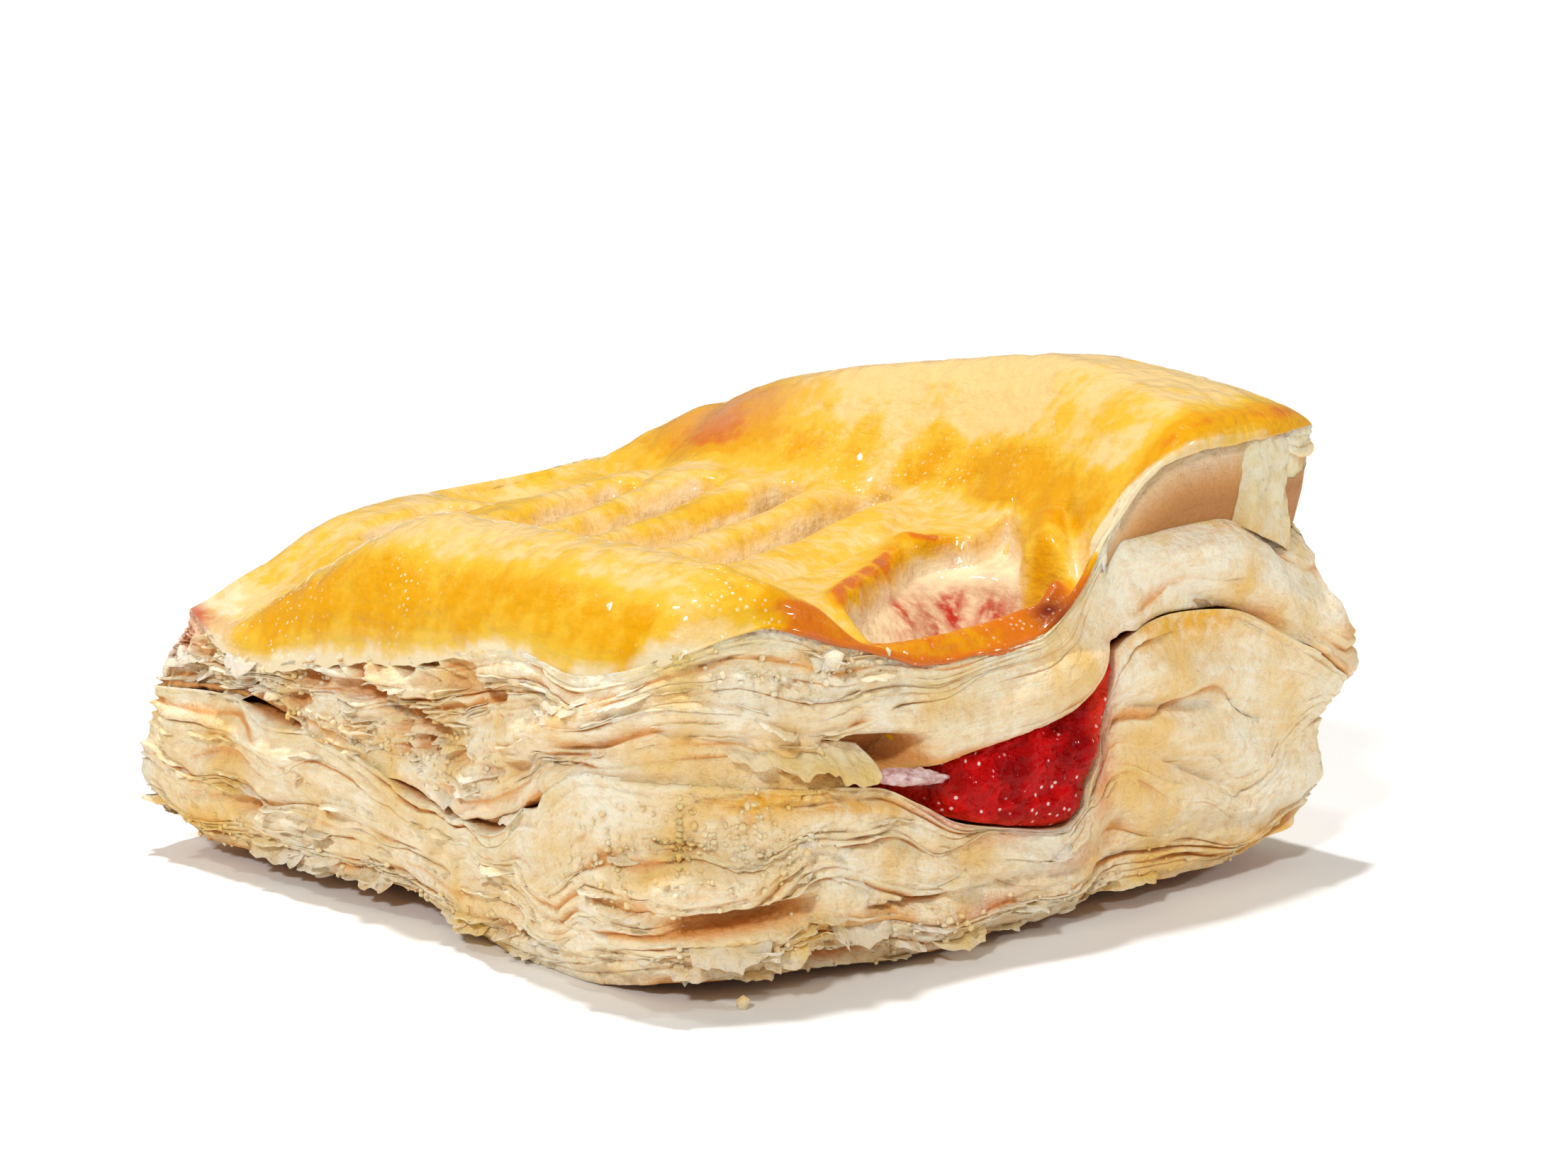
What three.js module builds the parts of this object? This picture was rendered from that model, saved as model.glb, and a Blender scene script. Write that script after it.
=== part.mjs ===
// A square of flaky pastry baked round a guava filling, in millimetres with +Z up.
// It has three pieces: the lower sheet of dough, the filling, which shows at the front,
// and the upper sheet with its browned crust. X runs along the front, from the left
// corner to the right one, and Y runs from the front to the back.
import * as THREE from 'three';

// Clear space between two neighbouring pieces.
const clearance = 0.3;

// Plan. Corners of the square before they are rounded, the share of the half width that
// each is rounded by, and how far the middle of each side bows outwards.
const cornerAt = {
  frontLeft: [-44.5, -41.5],
  frontRight: [49.5, -48],
  backLeft: [-46.5, 48],
  backRight: [48, 49.5],
};
const cornerRound = { frontLeft: 0.085, frontRight: 0.055, backLeft: 0.03, backRight: 0.09 };
const sideBow = { front: 1.6, right: -0.5, back: 0.8, left: -2.2 };
const roundPower = 8;

// Grid lines of the faces, close together where the form turns fast: round the mouth of
// the filling across the width, and at the slits across the depth.
const columnsAt = [
  -44.5, -39.5, -34.5, -29.5, -24.5, -19.5, -14.5, -9.5, -4.5, 0.5,
  5.4, 7.6, 9.6, 11.6, 17, 24, 31, 38, 48,
];
const rowsAt = [
  -46.5, -42, -38, -34, -30, -26, -21, -16, -12, -8, -4, 0,
  4, 8, 12, 16, 20, 24, 28, 32, 36, 41, 48,
];

// Heights along the four sides. Each is a smooth curve through [place, height] points,
// where the place is x on the front and back and y on the left and right.
const lowerEdge = {
  front: curve([[-41, 2.2], [-25, 1.6], [-10, 0.8], [1, 1.2], [15, 2.5], [32, 2.3], [47, 6.3]]),
  left: curve([[-38, 2.2], [-23, 0], [-9, 0.4], [7, 3.1], [21, 2.2], [38, 2.1], [47, 4.4]]),
  right: curve([[-46, 6.3], [-33, 2.4], [-8, 0.3], [24, 0.9], [46, 2.6]]),
  back: curve([[-45, 4.4], [-27, 1.1], [0, 0.2], [27, 0.9], [45, 2.6]]),
};
const partingEdge = {
  front: curve([
    [-41, 22.8], [-29, 20.9], [-20, 19.9], [-14.5, 17.4], [-9.5, 14.7], [-2, 12.8], [5.4, 11.5],
    [7.6, 13], [9.6, 18.7], [11.6, 29.6], [20, 32.1], [28.5, 31.4], [40, 26.7], [47, 21.5],
  ]),
  left: curve([
    [-38, 22.8], [-28, 22.3], [-19, 17.4], [-11, 13.6], [0, 14.7], [13, 17.4], [30, 19.6], [47, 18.4],
  ]),
  right: curve([[-46, 21.5], [-28, 20.6], [0, 19], [46, 18]]),
  back: curve([[-45, 18.4], [-18, 17.4], [10, 18.6], [45, 18]]),
};
const openingEdge = {
  front: curve([
    [-41, 0.4], [-25, 0.4], [-19.5, 1.2], [-15, 3.2], [-9.5, 7], [-2, 9.9], [5.4, 13], [7.6, 14.2],
    [9.6, 11.6], [11.6, 1.7], [14, 1.9], [29, 2.8], [38, 1.2], [47, 0.5],
  ]),
  left: curve([[-38, 0.4], [-19, 0.4], [0, 0.6], [9, 1.2], [20, 0.5], [34, 1.5], [47, 1.3]]),
  right: curve([[-46, 0.5], [-10, 0.5], [10, 0.9], [46, 0.5]]),
  back: curve([[-45, 1.3], [-10, 0.5], [20, 0.8], [45, 0.5]]),
};
const rimEdge = {
  front: curve([
    [-41, 35.6], [-33, 37.9], [-23, 34.9], [-10, 32.1], [0, 32.8], [4.5, 35.4], [10, 41.6],
    [17, 48.1], [24, 50.2], [34, 50.4], [42, 50.2], [47, 50],
  ]),
  left: curve([
    [-38, 35.6], [-33, 33.4], [-26, 32], [-18, 33], [-1.5, 29.8], [16, 27.1], [26, 24.8],
    [36, 25.9], [47, 28.2],
  ]),
  right: curve([[-46, 50], [-36, 49], [-20, 47.2], [12, 43], [34, 38], [46, 34]]),
  back: curve([[-45, 28.2], [-33, 30.2], [-20, 33], [-8, 36.2], [6, 36.8], [27, 37.5], [45, 34]]),
};

// The filling: a slab in a hollow between the sheets, open at the front.
const fillingFloor = 12.5;
const fillingThickness = 9;
const partingInside = 18.6;
const fillingLeft = -19.5;
const fillingRight = 24;
const fillingBack = 32;
const fillingTaper = 9;
const edgeThickness = 0.75;
const mouthRight = 11.6;
const mouthBack = -38;
const mouthRecess = 1.2;
const mouthBulge = 1;
const sheetReach = 15;

// The underside: the sheet stands on a flat middle, with its edges curled up and tucked in.
const undersideShrink = 0.955;
const undersideReach = 11;
const tuckDepth = 2.4;
const tuckShare = 0.3;

// The crust. A rounded ridge runs along the left side and a higher hump along the right
// side, with a plateau of strips and slits between them.
const plateau = { low: 37, high: 40, from: -8, to: 26 };
const ridge = {
  x: -32,
  rise: curve([[-46, 3.4], [-38, 5], [-30, 5.8], [8, 5.2], [22, 0.8], [34, -2.4], [48, -2.6]]),
  width: 7,
};
const hump = {
  crestX: curve([[-47, 26], [-36, 30], [-25, 34], [-10, 36], [22, 36], [48, 32]]),
  footX: curve([[-47, 4], [-36, 10], [-25, 14], [-14, 19], [0, 21], [30, 19], [48, 21]]),
  top: curve([[-47, 52], [-36, 54.4], [-20, 56], [-8, 54.8], [18, 51], [30, 48.2], [40, 43.4], [48, 39.2]]),
};
const frontDip = { depth: 3.2, from: -26, to: 13, start: -35, ramp: 6 };
const backDip = { depth: 3.2, from: -8, start: 28, ramp: 15 };
const droopCorner = { x: -41, y: 44, depth: 7, reach: 15 };
const shoulder = { front: 3.2, right: 11, back: 4.5, left: 12 };
// Each slit runs slightly backwards to the right: y is where it crosses the middle.
const slits = [
  { y: -7.5, slope: 0.27, from: -20, to: 25, depth: 3.8 },
  { y: 4.5, slope: 0.28, from: -21, to: 22, depth: 3.8 },
  { y: 15, slope: 0.3, from: -22, to: 18, depth: 2.8 },
  { y: 25.5, slope: 0.33, from: -22, to: 13, depth: 3.2 },
  { y: 38, slope: 0.1, from: -25, to: -6, depth: 2.4 },
];
const slitWidth = 2.5;
const slitRamp = 5.5;
const openSlit = {
  left: -18,
  leftRamp: 8,
  right: 10.5,
  rightRamp: 3,
  front: -43,
  back: curve([[-20, -37.5], [-14, -34], [0, -26], [7, -22.5], [12, -26]]),
  depth: 8.5,
  deepest: 0.25,
};

// The sides. Layers of dough stand out and in by turns, and larger folds bulge out or
// sink in at the places given.
const lowerRings = 8;
const upperRings = 9;
const layerRelief = 0.6;
const layerWave = 0.45;
const folds = [
  { side: 'front', at: -33, z: 7, wide: 9, high: 4, out: 1.8 },
  { side: 'front', at: -27, z: 2.8, wide: 9, high: 1.6, out: -2.2 },
  { side: 'front', at: -12, z: 5, wide: 7, high: 3, out: 1.2 },
  { side: 'front', at: 22, z: 20, wide: 9, high: 9, out: 1.2 },
  { side: 'front', at: -28, z: 27, wide: 10, high: 2, out: -1.4 },
  { side: 'front', at: -20, z: 23, wide: 5, high: 1.8, out: -3 },
  { side: 'front', at: 6, z: 29, wide: 9, high: 4, out: 1.6 },
  { side: 'left', at: 43, z: 8, wide: 9, high: 8, out: 1.4 },
  { side: 'left', at: 40, z: 21, wide: 10, high: 3, out: -2.2 },
  { side: 'back', at: -42, z: 8, wide: 8, high: 8, out: 1.2 },
  { side: 'left', at: 4, z: 7, wide: 14, high: 4, out: -1.4 },
  { side: 'left', at: -4, z: 22, wide: 12, high: 3, out: -1.4 },
  { side: 'left', at: -32, z: 13, wide: 9, high: 6, out: 1.2 },
  { side: 'front', at: 46, z: 24.5, wide: 12, high: 6.5, out: 3.2 },
  { side: 'right', at: -42, z: 24, wide: 16, high: 7, out: 3 },
  { side: 'front', at: 46, z: 9, wide: 9, high: 5, out: 1.2 },
  { side: 'right', at: -42, z: 9, wide: 12, high: 5, out: 1.2 },
  { side: 'front', at: 44, z: 41, wide: 7, high: 4, out: -2.6 },
  { side: 'right', at: -34, z: 41, wide: 16, high: 4, out: -3 },
  { side: 'back', at: 27, z: 38, wide: 12, high: 6, out: 2.4 },
];

// Corners of the upper sheet that lie further in or out than the lower sheet's, and how
// much of the side's height up from the bottom stays in place.
const upperPulls = [
  { x: -45, y: 47, moveX: 2.8, moveY: -3.2, reach: 11, from: 0.15 },
  { x: 47, y: -46, moveX: -0.4, moveY: 0.4, reach: 7, from: 0.84 },
  { x: 27, y: 49, moveX: -0.5, moveY: 1.6, reach: 9, from: 0.5 },
];

// The open arch under the front of the hump: where it lies along x, how thick the crust
// over it is, and the height of the fold below it. The rings of the upper side within it
// are given as [height, depth inwards], where the height is 0 at the sheet's underside,
// 1 at the top of the fold and 2 at the rim.
const arch = {
  from: 10,
  to: 41,
  ramp: 4,
  deepFrom: 21,
  shallow: 0.25,
  skin: 1.7,
  foldTop: curve([[10, 41], [20, 41.8], [29, 41.9], [36, 39.6], [44, 36]]),
};
const archRings = [
  [0, 0], [0.3, -0.4], [0.62, -0.9], [0.86, 0.3], [1, 3.2],
  [1.06, 11.5], [1.4, 13.5], [1.78, 11], [1.84, 1.8], [2, 0.2],
];

const colours = { dough: 0xf0dfc0, crust: 0xeeb049, filling: 0xa00818 };

function clamp(value) {
  return Math.min(1, Math.max(0, value));
}

function mix(a, b, share) {
  return a + (b - a) * share;
}

function ease(value) {
  const t = clamp(value);
  return t * t * (3 - 2 * t);
}

function bell(distance, reach) {
  return Math.exp(-((distance / reach) ** 2));
}

// A smooth curve through the points that never overshoots them (monotone cubic).
function curve(points) {
  const last = points.length - 1;
  const slope = [];
  for (let i = 0; i < last; i++) {
    slope.push((points[i + 1][1] - points[i][1]) / (points[i + 1][0] - points[i][0]));
  }
  const tangent = points.map((point, i) => {
    if (i === 0) return slope[0];
    if (i === last) return slope[last - 1];
    if (slope[i - 1] * slope[i] <= 0) return 0;
    return (2 * slope[i - 1] * slope[i]) / (slope[i - 1] + slope[i]);
  });
  return (place) => {
    const x = Math.min(points[last][0], Math.max(points[0][0], place));
    let i = 0;
    while (i < last - 1 && x > points[i + 1][0]) i++;
    const span = points[i + 1][0] - points[i][0];
    const t = (x - points[i][0]) / span;
    const t2 = t * t;
    const t3 = t2 * t;
    return points[i][1] * (2 * t3 - 3 * t2 + 1) + tangent[i] * span * (t3 - 2 * t2 + t)
      + points[i + 1][1] * (3 * t2 - 2 * t3) + tangent[i + 1] * span * (t3 - t2);
  };
}

// Grid lines as shares from 0 to 1, each coarse step halved once.
function gridShares(places) {
  const first = places[0];
  const length = places[places.length - 1] - first;
  const shares = [];
  places.forEach((place, i) => {
    if (i > 0) shares.push(((places[i - 1] + place) / 2 - first) / length);
    shares.push((place - first) / length);
  });
  return shares;
}

const columns = gridShares(columnsAt);
const rows = gridShares(rowsAt);
const lastColumn = columns.length - 1;
const lastRow = rows.length - 1;

// The plan of the square: shares u and v from the front left corner to a place in mm.
function planAt(u, v) {
  const round = mix(
    mix(cornerRound.frontLeft, cornerRound.frontRight, u),
    mix(cornerRound.backLeft, cornerRound.backRight, u),
    v,
  );
  const a = (2 * u - 1) * (1 - round * Math.abs(2 * v - 1) ** roundPower);
  const b = (2 * v - 1) * (1 - round * Math.abs(2 * u - 1) ** roundPower);
  const s = (a + 1) / 2;
  const t = (b + 1) / 2;
  const place = [0, 1].map((axis) => mix(
    mix(cornerAt.frontLeft[axis], cornerAt.frontRight[axis], s),
    mix(cornerAt.backLeft[axis], cornerAt.backRight[axis], s),
    t,
  ));
  const across = Math.sin(Math.PI * s);
  const along = Math.sin(Math.PI * t);
  place[1] += across * (sideBow.back * t ** 3 - sideBow.front * (1 - t) ** 3);
  place[0] += along * (sideBow.right * s ** 3 - sideBow.left * (1 - s) ** 3);
  return place;
}

// A height that meets the four side curves at the edges and the inner height within.
// The weights tell how much of each side is felt at a distance from it.
function fromEdges(edge, u, v, inner, weight) {
  const [front, right, back, left] = weight;
  const rise = (height) => height - inner;
  const atFront = rise(edge.front(planAt(u, 0)[0]));
  const atBack = rise(edge.back(planAt(u, 1)[0]));
  const atLeft = rise(edge.left(planAt(0, v)[1]));
  const atRight = rise(edge.right(planAt(1, v)[1]));
  const cornerOf = (side, s, t, axis) => rise(edge[side](planAt(s, t)[axis]));
  return inner + atFront * front + atBack * back + atLeft * left + atRight * right
    - cornerOf('front', 0, 0, 0) * front * left - cornerOf('front', 1, 0, 0) * front * right
    - cornerOf('back', 0, 1, 0) * back * left - cornerOf('back', 1, 1, 0) * back * right;
}

// Distances in mm from a place to the four sides, front, right, back, left.
function sideDistances(u, v) {
  const depth = rowsAt[rowsAt.length - 1] - rowsAt[0];
  const width = columnsAt[columnsAt.length - 1] - columnsAt[0];
  return [v * depth, (1 - u) * width, (1 - v) * depth, u * width];
}

function fadingWeights(u, v, reach) {
  return sideDistances(u, v).map((distance) => 1 - ease(distance / reach));
}

function roundedWeights(u, v) {
  const radius = [shoulder.front, shoulder.right, shoulder.back, shoulder.left];
  return sideDistances(u, v).map((distance, i) => {
    const inward = 1 - clamp(distance / radius[i]);
    return 1 - Math.sqrt(1 - inward * inward);
  });
}

// How much of the filling's full thickness there is at a place inside the pastry.
function fillingShare(x, y) {
  const toEdges = [x - fillingLeft, fillingRight - x, fillingBack - y];
  return toEdges.reduce((share, distance) => share * ease(distance / fillingTaper + edgeThickness), 1);
}

function lowerTop(u, v) {
  const [x, y] = planAt(u, v);
  const inner = mix(partingInside, fillingFloor, fillingShare(x, y));
  return fromEdges(partingEdge, u, v, inner, fadingWeights(u, v, sheetReach));
}

function upperBottom(u, v) {
  const [x, y] = planAt(u, v);
  const inner = 2 * clearance + fillingThickness * fillingShare(x, y);
  return lowerTop(u, v) + fromEdges(openingEdge, u, v, inner, fadingWeights(u, v, sheetReach));
}

function lowerBottom(u, v) {
  return fromEdges(lowerEdge, u, v, 0, fadingWeights(u, v, undersideReach));
}

function slitDepth(x, y) {
  let depth = 0;
  for (const slit of slits) {
    const along = ease((x - slit.from) / slitRamp) * ease((slit.to - x) / slitRamp);
    depth += slit.depth * along * bell(y - slit.y - slit.slope * x, slitWidth);
  }
  const across = clamp((y - openSlit.front) / (openSlit.back(x) - openSlit.front));
  const before = ease(across / openSlit.deepest);
  const behind = 1 - ease((across - openSlit.deepest) / (1 - openSlit.deepest));
  const along = ease((x - openSlit.left) / openSlit.leftRamp)
    * ease((openSlit.right - x) / openSlit.rightRamp);
  return depth + openSlit.depth * along * Math.min(before, behind);
}

function crustHeight(x, y) {
  const flat = mix(plateau.low, plateau.high, ease((x - plateau.from) / (plateau.to - plateau.from)));
  const onRidge = ridge.rise(y) * (x < ridge.x ? 1 : bell(x - ridge.x, ridge.width));
  const foot = hump.footX(y);
  const crest = hump.crestX(y);
  const climb = ease((x - foot) / (crest - foot));
  const dipFront = frontDip.depth * ease((frontDip.start - y) / frontDip.ramp)
    * ease((x - frontDip.from) / frontDip.ramp) * ease((frontDip.to - x) / frontDip.ramp);
  const dipBack = backDip.depth * ease((y - backDip.start) / backDip.ramp)
    * ease((x - backDip.from) / backDip.ramp);
  const toCorner = Math.hypot(x - droopCorner.x, y - droopCorner.y);
  const droop = droopCorner.depth * bell(toCorner, droopCorner.reach);
  return mix(flat + onRidge - dipFront - dipBack, hump.top(y), climb) - droop - slitDepth(x, y);
}

function upperTop(u, v) {
  const [x, y] = planAt(u, v);
  return fromEdges(rimEdge, u, v, crustHeight(x, y), roundedWeights(u, v));
}

// The outline of the square, anticlockwise from the front left corner, with each
// point's grid place, side, place in mm and outward direction.
function outline() {
  const points = [];
  for (let i = 0; i < lastColumn; i++) points.push({ i, j: 0, side: 'front' });
  for (let j = 0; j < lastRow; j++) points.push({ i: lastColumn, j, side: 'right' });
  for (let i = lastColumn; i > 0; i--) points.push({ i, j: lastRow, side: 'back' });
  for (let j = lastRow; j > 0; j--) points.push({ i: 0, j, side: 'left' });
  for (const point of points) {
    point.u = columns[point.i];
    point.v = rows[point.j];
    [point.x, point.y] = planAt(point.u, point.v);
  }
  points.forEach((point, k) => {
    const before = points[(k + points.length - 1) % points.length];
    const after = points[(k + 1) % points.length];
    const length = Math.hypot(after.x - before.x, after.y - before.y);
    point.out = [(after.y - before.y) / length, -(after.x - before.x) / length];
  });
  return points;
}

const rimPoints = outline();

// How far a point of the side stands out of the outline because of the larger folds.
function foldAt(point, z) {
  const [outX, outY] = point.out;
  const facing = { front: -outY, right: outX, back: outY, left: -outX };
  let out = 0;
  for (const fold of folds) {
    const along = fold.side === 'front' || fold.side === 'back' ? point.x : point.y;
    const amount = fold.out * bell(along - fold.at, fold.wide) * bell(z - fold.z, fold.high);
    out += amount * ease(facing[fold.side] * Math.SQRT2);
  }
  return out;
}

// The layers of dough: one ring out, the next in, by an amount that wanders on its way
// round the pastry.
function layerAt(k, ring) {
  const turn = (2 * Math.PI * k) / rimPoints.length;
  const wander = 0.6 + 0.25 * Math.sin(3 * turn + ring * 1.7) + 0.2 * Math.sin(11 * turn - ring * 2.3);
  return layerRelief * wander * (ring % 2 === 0 ? 1 : -1);
}

// How far a layer's edge wanders up and down, which fades at the ends of the side.
function waveAt(k, ring, share) {
  const turn = (2 * Math.PI * k) / rimPoints.length;
  const wave = Math.sin(7 * turn + ring * 2.1) + 0.7 * Math.sin(17 * turn - ring * 1.3);
  return layerWave * wave * Math.sin(Math.PI * share);
}

function lowerSide(k, ring) {
  const point = rimPoints[k];
  const share = ring / lowerRings;
  const z = mix(lowerBottom(point.u, point.v), lowerTop(point.u, point.v), share) + waveAt(k, ring, share);
  if (ring === lowerRings) return { z, out: 0 };
  const tuck = tuckDepth * (1 - ease(share / tuckShare));
  return { z, out: foldAt(point, z) + layerAt(k, ring) - tuck };
}

function upperSide(k, ring) {
  const point = rimPoints[k];
  const share = ring / upperRings;
  const bottom = upperBottom(point.u, point.v);
  const rim = upperTop(point.u, point.v);
  if (ring === 0) return { z: bottom, out: 0 };
  const plainZ = mix(bottom, rim, share) + waveAt(k, ring, share);
  const plainOut = foldAt(point, plainZ) + layerAt(k, ring);
  const onFront = point.side === 'front' ? 1 : 0;
  const inArch = onFront * ease((point.x - arch.from) / arch.ramp) * ease((arch.to - point.x) / arch.ramp);
  const [height, depth] = archRings[ring];
  const foldTop = arch.foldTop(point.x);
  const archZ = height < 1 ? mix(bottom, foldTop, height) : mix(foldTop, rim, height - 1);
  const sunk = depth * mix(arch.shallow, 1, ease((point.x - arch.from) / (arch.deepFrom - arch.from)));
  const out = mix(plainOut, foldAt(point, archZ) - sunk, inArch);
  const z = mix(plainZ, archZ, inArch);
  if (ring === upperRings) return { z, out };
  const crust = crustHeight(point.x + point.out[0] * out, point.y + point.out[1] * out);
  const isUnderCrust = inArch > 0 && sunk > arch.skin;
  return { z: isUnderCrust ? Math.min(z, crust - arch.skin) : z, out };
}

// Where a place on the upper sheet lies once its corners are pulled, by its height share.
function pulled(x, y, share) {
  let toX = x;
  let toY = y;
  for (const pull of upperPulls) {
    const amount = bell(Math.hypot(x - pull.x, y - pull.y), pull.reach)
      * ease((share - pull.from) / (1 - pull.from));
    toX += pull.moveX * amount;
    toY += pull.moveY * amount;
  }
  return [toX, toY];
}

// Collects the corners and triangles of one closed piece.
class Solid {
  constructor() {
    this.places = [];
    this.index = [];
  }

  add(x, y, z) {
    this.places.push(x, y, z);
    return this.places.length / 3 - 1;
  }

  // A polygon as a fan of triangles from its first corner, turned over when it faces down.
  fan(corners, down) {
    for (let n = 1; n < corners.length - 1; n++) {
      const [b, c] = down ? [corners[n + 1], corners[n]] : [corners[n], corners[n + 1]];
      this.index.push(corners[0], b, c);
    }
  }

  mesh(name, colour, roughness) {
    const geometry = new THREE.BufferGeometry();
    geometry.setAttribute('position', new THREE.Float32BufferAttribute(this.places, 3));
    geometry.setIndex(this.index);
    geometry.computeVertexNormals();
    const material = new THREE.MeshStandardMaterial({ color: colour, roughness, metalness: 0 });
    const mesh = new THREE.Mesh(geometry, material);
    mesh.name = name;
    return mesh;
  }
}

// A ring of points round the side, at the given height and distance out.
function addRing(solid, sideAt, moved, ring, share) {
  return rimPoints.map((point, k) => {
    const { z, out } = sideAt(k, ring);
    const [x, y] = moved(point.x + point.out[0] * out, point.y + point.out[1] * out, share);
    return solid.add(x, y, z);
  });
}

function joinRings(solid, low, high) {
  low.forEach((corner, k) => {
    const next = (k + 1) % low.length;
    solid.fan([corner, low[next], high[next], high[k]], false);
  });
}

// A face over the whole square whose outer points are the given ring. The fine face has
// every grid line and the coarse one every second, with the ring's own points between.
function addFace(solid, ring, heightAt, moved, { step, shrink, down }) {
  const rimIndex = new Map(rimPoints.map((point, k) => [`${point.i},${point.j}`, ring[k]]));
  const inside = new Map();
  const cornerAtLine = (i, j) => {
    const key = `${i},${j}`;
    if (rimIndex.has(key)) return rimIndex.get(key);
    if (!inside.has(key)) {
      const [x, y] = moved(...planAt(columns[i], rows[j]), down ? 0 : 1);
      inside.set(key, solid.add(x * shrink, y * shrink, heightAt(columns[i], rows[j])));
    }
    return inside.get(key);
  };
  for (let i = 0; i < lastColumn; i += step) {
    for (let j = 0; j < lastRow; j += step) {
      solid.fan(cellCorners(i, j, step).map(([a, b]) => cornerAtLine(a, b)), down);
    }
  }
}

// The corners of one cell, anticlockwise from the corner nearest the middle of the
// square, with the half-way points on the edges that lie on the outline.
function cellCorners(i, j, step) {
  const corners = [[i, j], [i + step, j], [i + step, j + step], [i, j + step]];
  const onOutline = ([a, b], [c, d]) => (a === c && (a === 0 || a === lastColumn))
    || (b === d && (b === 0 || b === lastRow));
  const all = [];
  corners.forEach((corner, n) => {
    const next = corners[(n + 1) % 4];
    all.push(corner);
    if (step === 2 && onOutline(corner, next)) {
      all.push([(corner[0] + next[0]) / 2, (corner[1] + next[1]) / 2]);
    }
  });
  const toMiddle = ([a, b]) => Math.hypot(a / lastColumn - 0.5, b / lastRow - 0.5);
  const nearest = corners.reduce((best, corner) => (toMiddle(corner) < toMiddle(best) ? corner : best));
  const start = all.indexOf(nearest);
  return [...all.slice(start), ...all.slice(0, start)];
}

// A sheet of dough: its side, which has one step for each ring, and its two faces.
function doughSheet({ sideAt, rings, moved, bottomAt, topAt, shrink, topStep }) {
  const solid = new Solid();
  const ringCorners = [];
  for (let ring = 0; ring <= rings; ring++) {
    ringCorners.push(addRing(solid, sideAt, moved, ring, ring / rings));
  }
  for (let ring = 0; ring < rings; ring++) joinRings(solid, ringCorners[ring], ringCorners[ring + 1]);
  addFace(solid, ringCorners[0], bottomAt, moved, { step: 2, shrink, down: true });
  addFace(solid, ringCorners[rings], topAt, moved, { step: topStep, shrink: 1, down: false });
  return solid;
}

// A grid point of the hollow between the sheets, with the hollow's floor and roof there.
// At the mouth it lies a little way in, along the edge of the cell behind it.
function hollowAt(i, j) {
  const [x, y] = planAt(columns[i], rows[j]);
  const here = [x, y, lowerTop(columns[i], rows[j]), upperBottom(columns[i], rows[j])];
  if (j > 0) return here;
  const behind = i % 2 === 0 ? [i, 2] : cellCorners(i - 1, 0, 2)[0];
  const recess = mouthRecess / (rowsAt[1] - rowsAt[0]);
  return here.map((value, n) => mix(value, hollowAt(...behind)[n], recess));
}

// The filling is a slab over the coarse cells between its ends, narrower at the mouth,
// where its face bulges out a little.
function fillingSlab() {
  const solid = new Solid();
  const line = (places, place) => 2 * places.indexOf(place);
  const left = line(columnsAt, fillingLeft);
  const right = line(columnsAt, fillingRight);
  const back = line(rowsAt, fillingBack);
  const rightAt = (j) => (j < line(rowsAt, mouthBack) ? line(columnsAt, mouthRight) : right);
  const isFilled = (i, j) => i >= left && i < rightAt(j) && j >= 0 && j < back;
  const levels = [0, 0.33, 0.67, 1];
  const known = new Map();
  const placeAt = (i, j, level) => {
    const key = `${i},${j},${level}`;
    if (!known.has(key)) {
      const [x, y, low, high] = hollowAt(i, j);
      const thickness = clamp((high - low) / fillingThickness);
      const bulge = j === 0 ? mouthBulge * thickness * Math.sin(Math.PI * levels[level]) : 0;
      known.set(key, solid.add(x, y - bulge, mix(low + clearance, high - clearance, levels[level])));
    }
    return known.get(key);
  };
  const top = levels.length - 1;
  const addWall = (...stops) => {
    for (let n = 0; n < stops.length - 1; n++) {
      for (let level = 0; level < top; level++) {
        const low = [placeAt(...stops[n], level), placeAt(...stops[n + 1], level)];
        const high = [placeAt(...stops[n + 1], level + 1), placeAt(...stops[n], level + 1)];
        solid.fan([...low, ...high], false);
      }
    }
  };
  for (let i = left; i < right; i += 2) {
    for (let j = 0; j < back; j += 2) {
      if (!isFilled(i, j)) continue;
      const cell = cellCorners(i, j, 2);
      solid.fan(cell.map(([a, b]) => placeAt(a, b, 0)), true);
      solid.fan(cell.map(([a, b]) => placeAt(a, b, top)), false);
      if (j === 0) addWall([i, j], [i + 1, j], [i + 2, j]);
      else if (!isFilled(i, j - 2)) addWall([i, j], [i + 2, j]);
      if (!isFilled(i + 2, j)) addWall([i + 2, j], [i + 2, j + 2]);
      if (!isFilled(i, j + 2)) addWall([i + 2, j + 2], [i, j + 2]);
      if (!isFilled(i - 2, j)) addWall([i, j + 2], [i, j]);
    }
  }
  return solid;
}

const pastry = new THREE.Group();
const lowerSheet = doughSheet({
  sideAt: lowerSide,
  rings: lowerRings,
  moved: (x, y) => [x, y],
  bottomAt: lowerBottom,
  topAt: lowerTop,
  shrink: undersideShrink,
  topStep: 2,
});
const upperSheet = doughSheet({
  sideAt: upperSide,
  rings: upperRings,
  moved: pulled,
  bottomAt: upperBottom,
  topAt: upperTop,
  shrink: 1,
  topStep: 1,
});
pastry.add(lowerSheet.mesh('lower_sheet', colours.dough, 0.75));
pastry.add(fillingSlab().mesh('guava_filling', colours.filling, 0.18));
pastry.add(upperSheet.mesh('upper_sheet', colours.crust, 0.42));

// The origin lies on the ground under the middle of the pastry.
const box = new THREE.Box3().setFromObject(pastry);
const middle = box.getCenter(new THREE.Vector3());
pastry.position.set(-middle.x, -middle.y, -box.min.z);

export default pastry;
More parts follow.
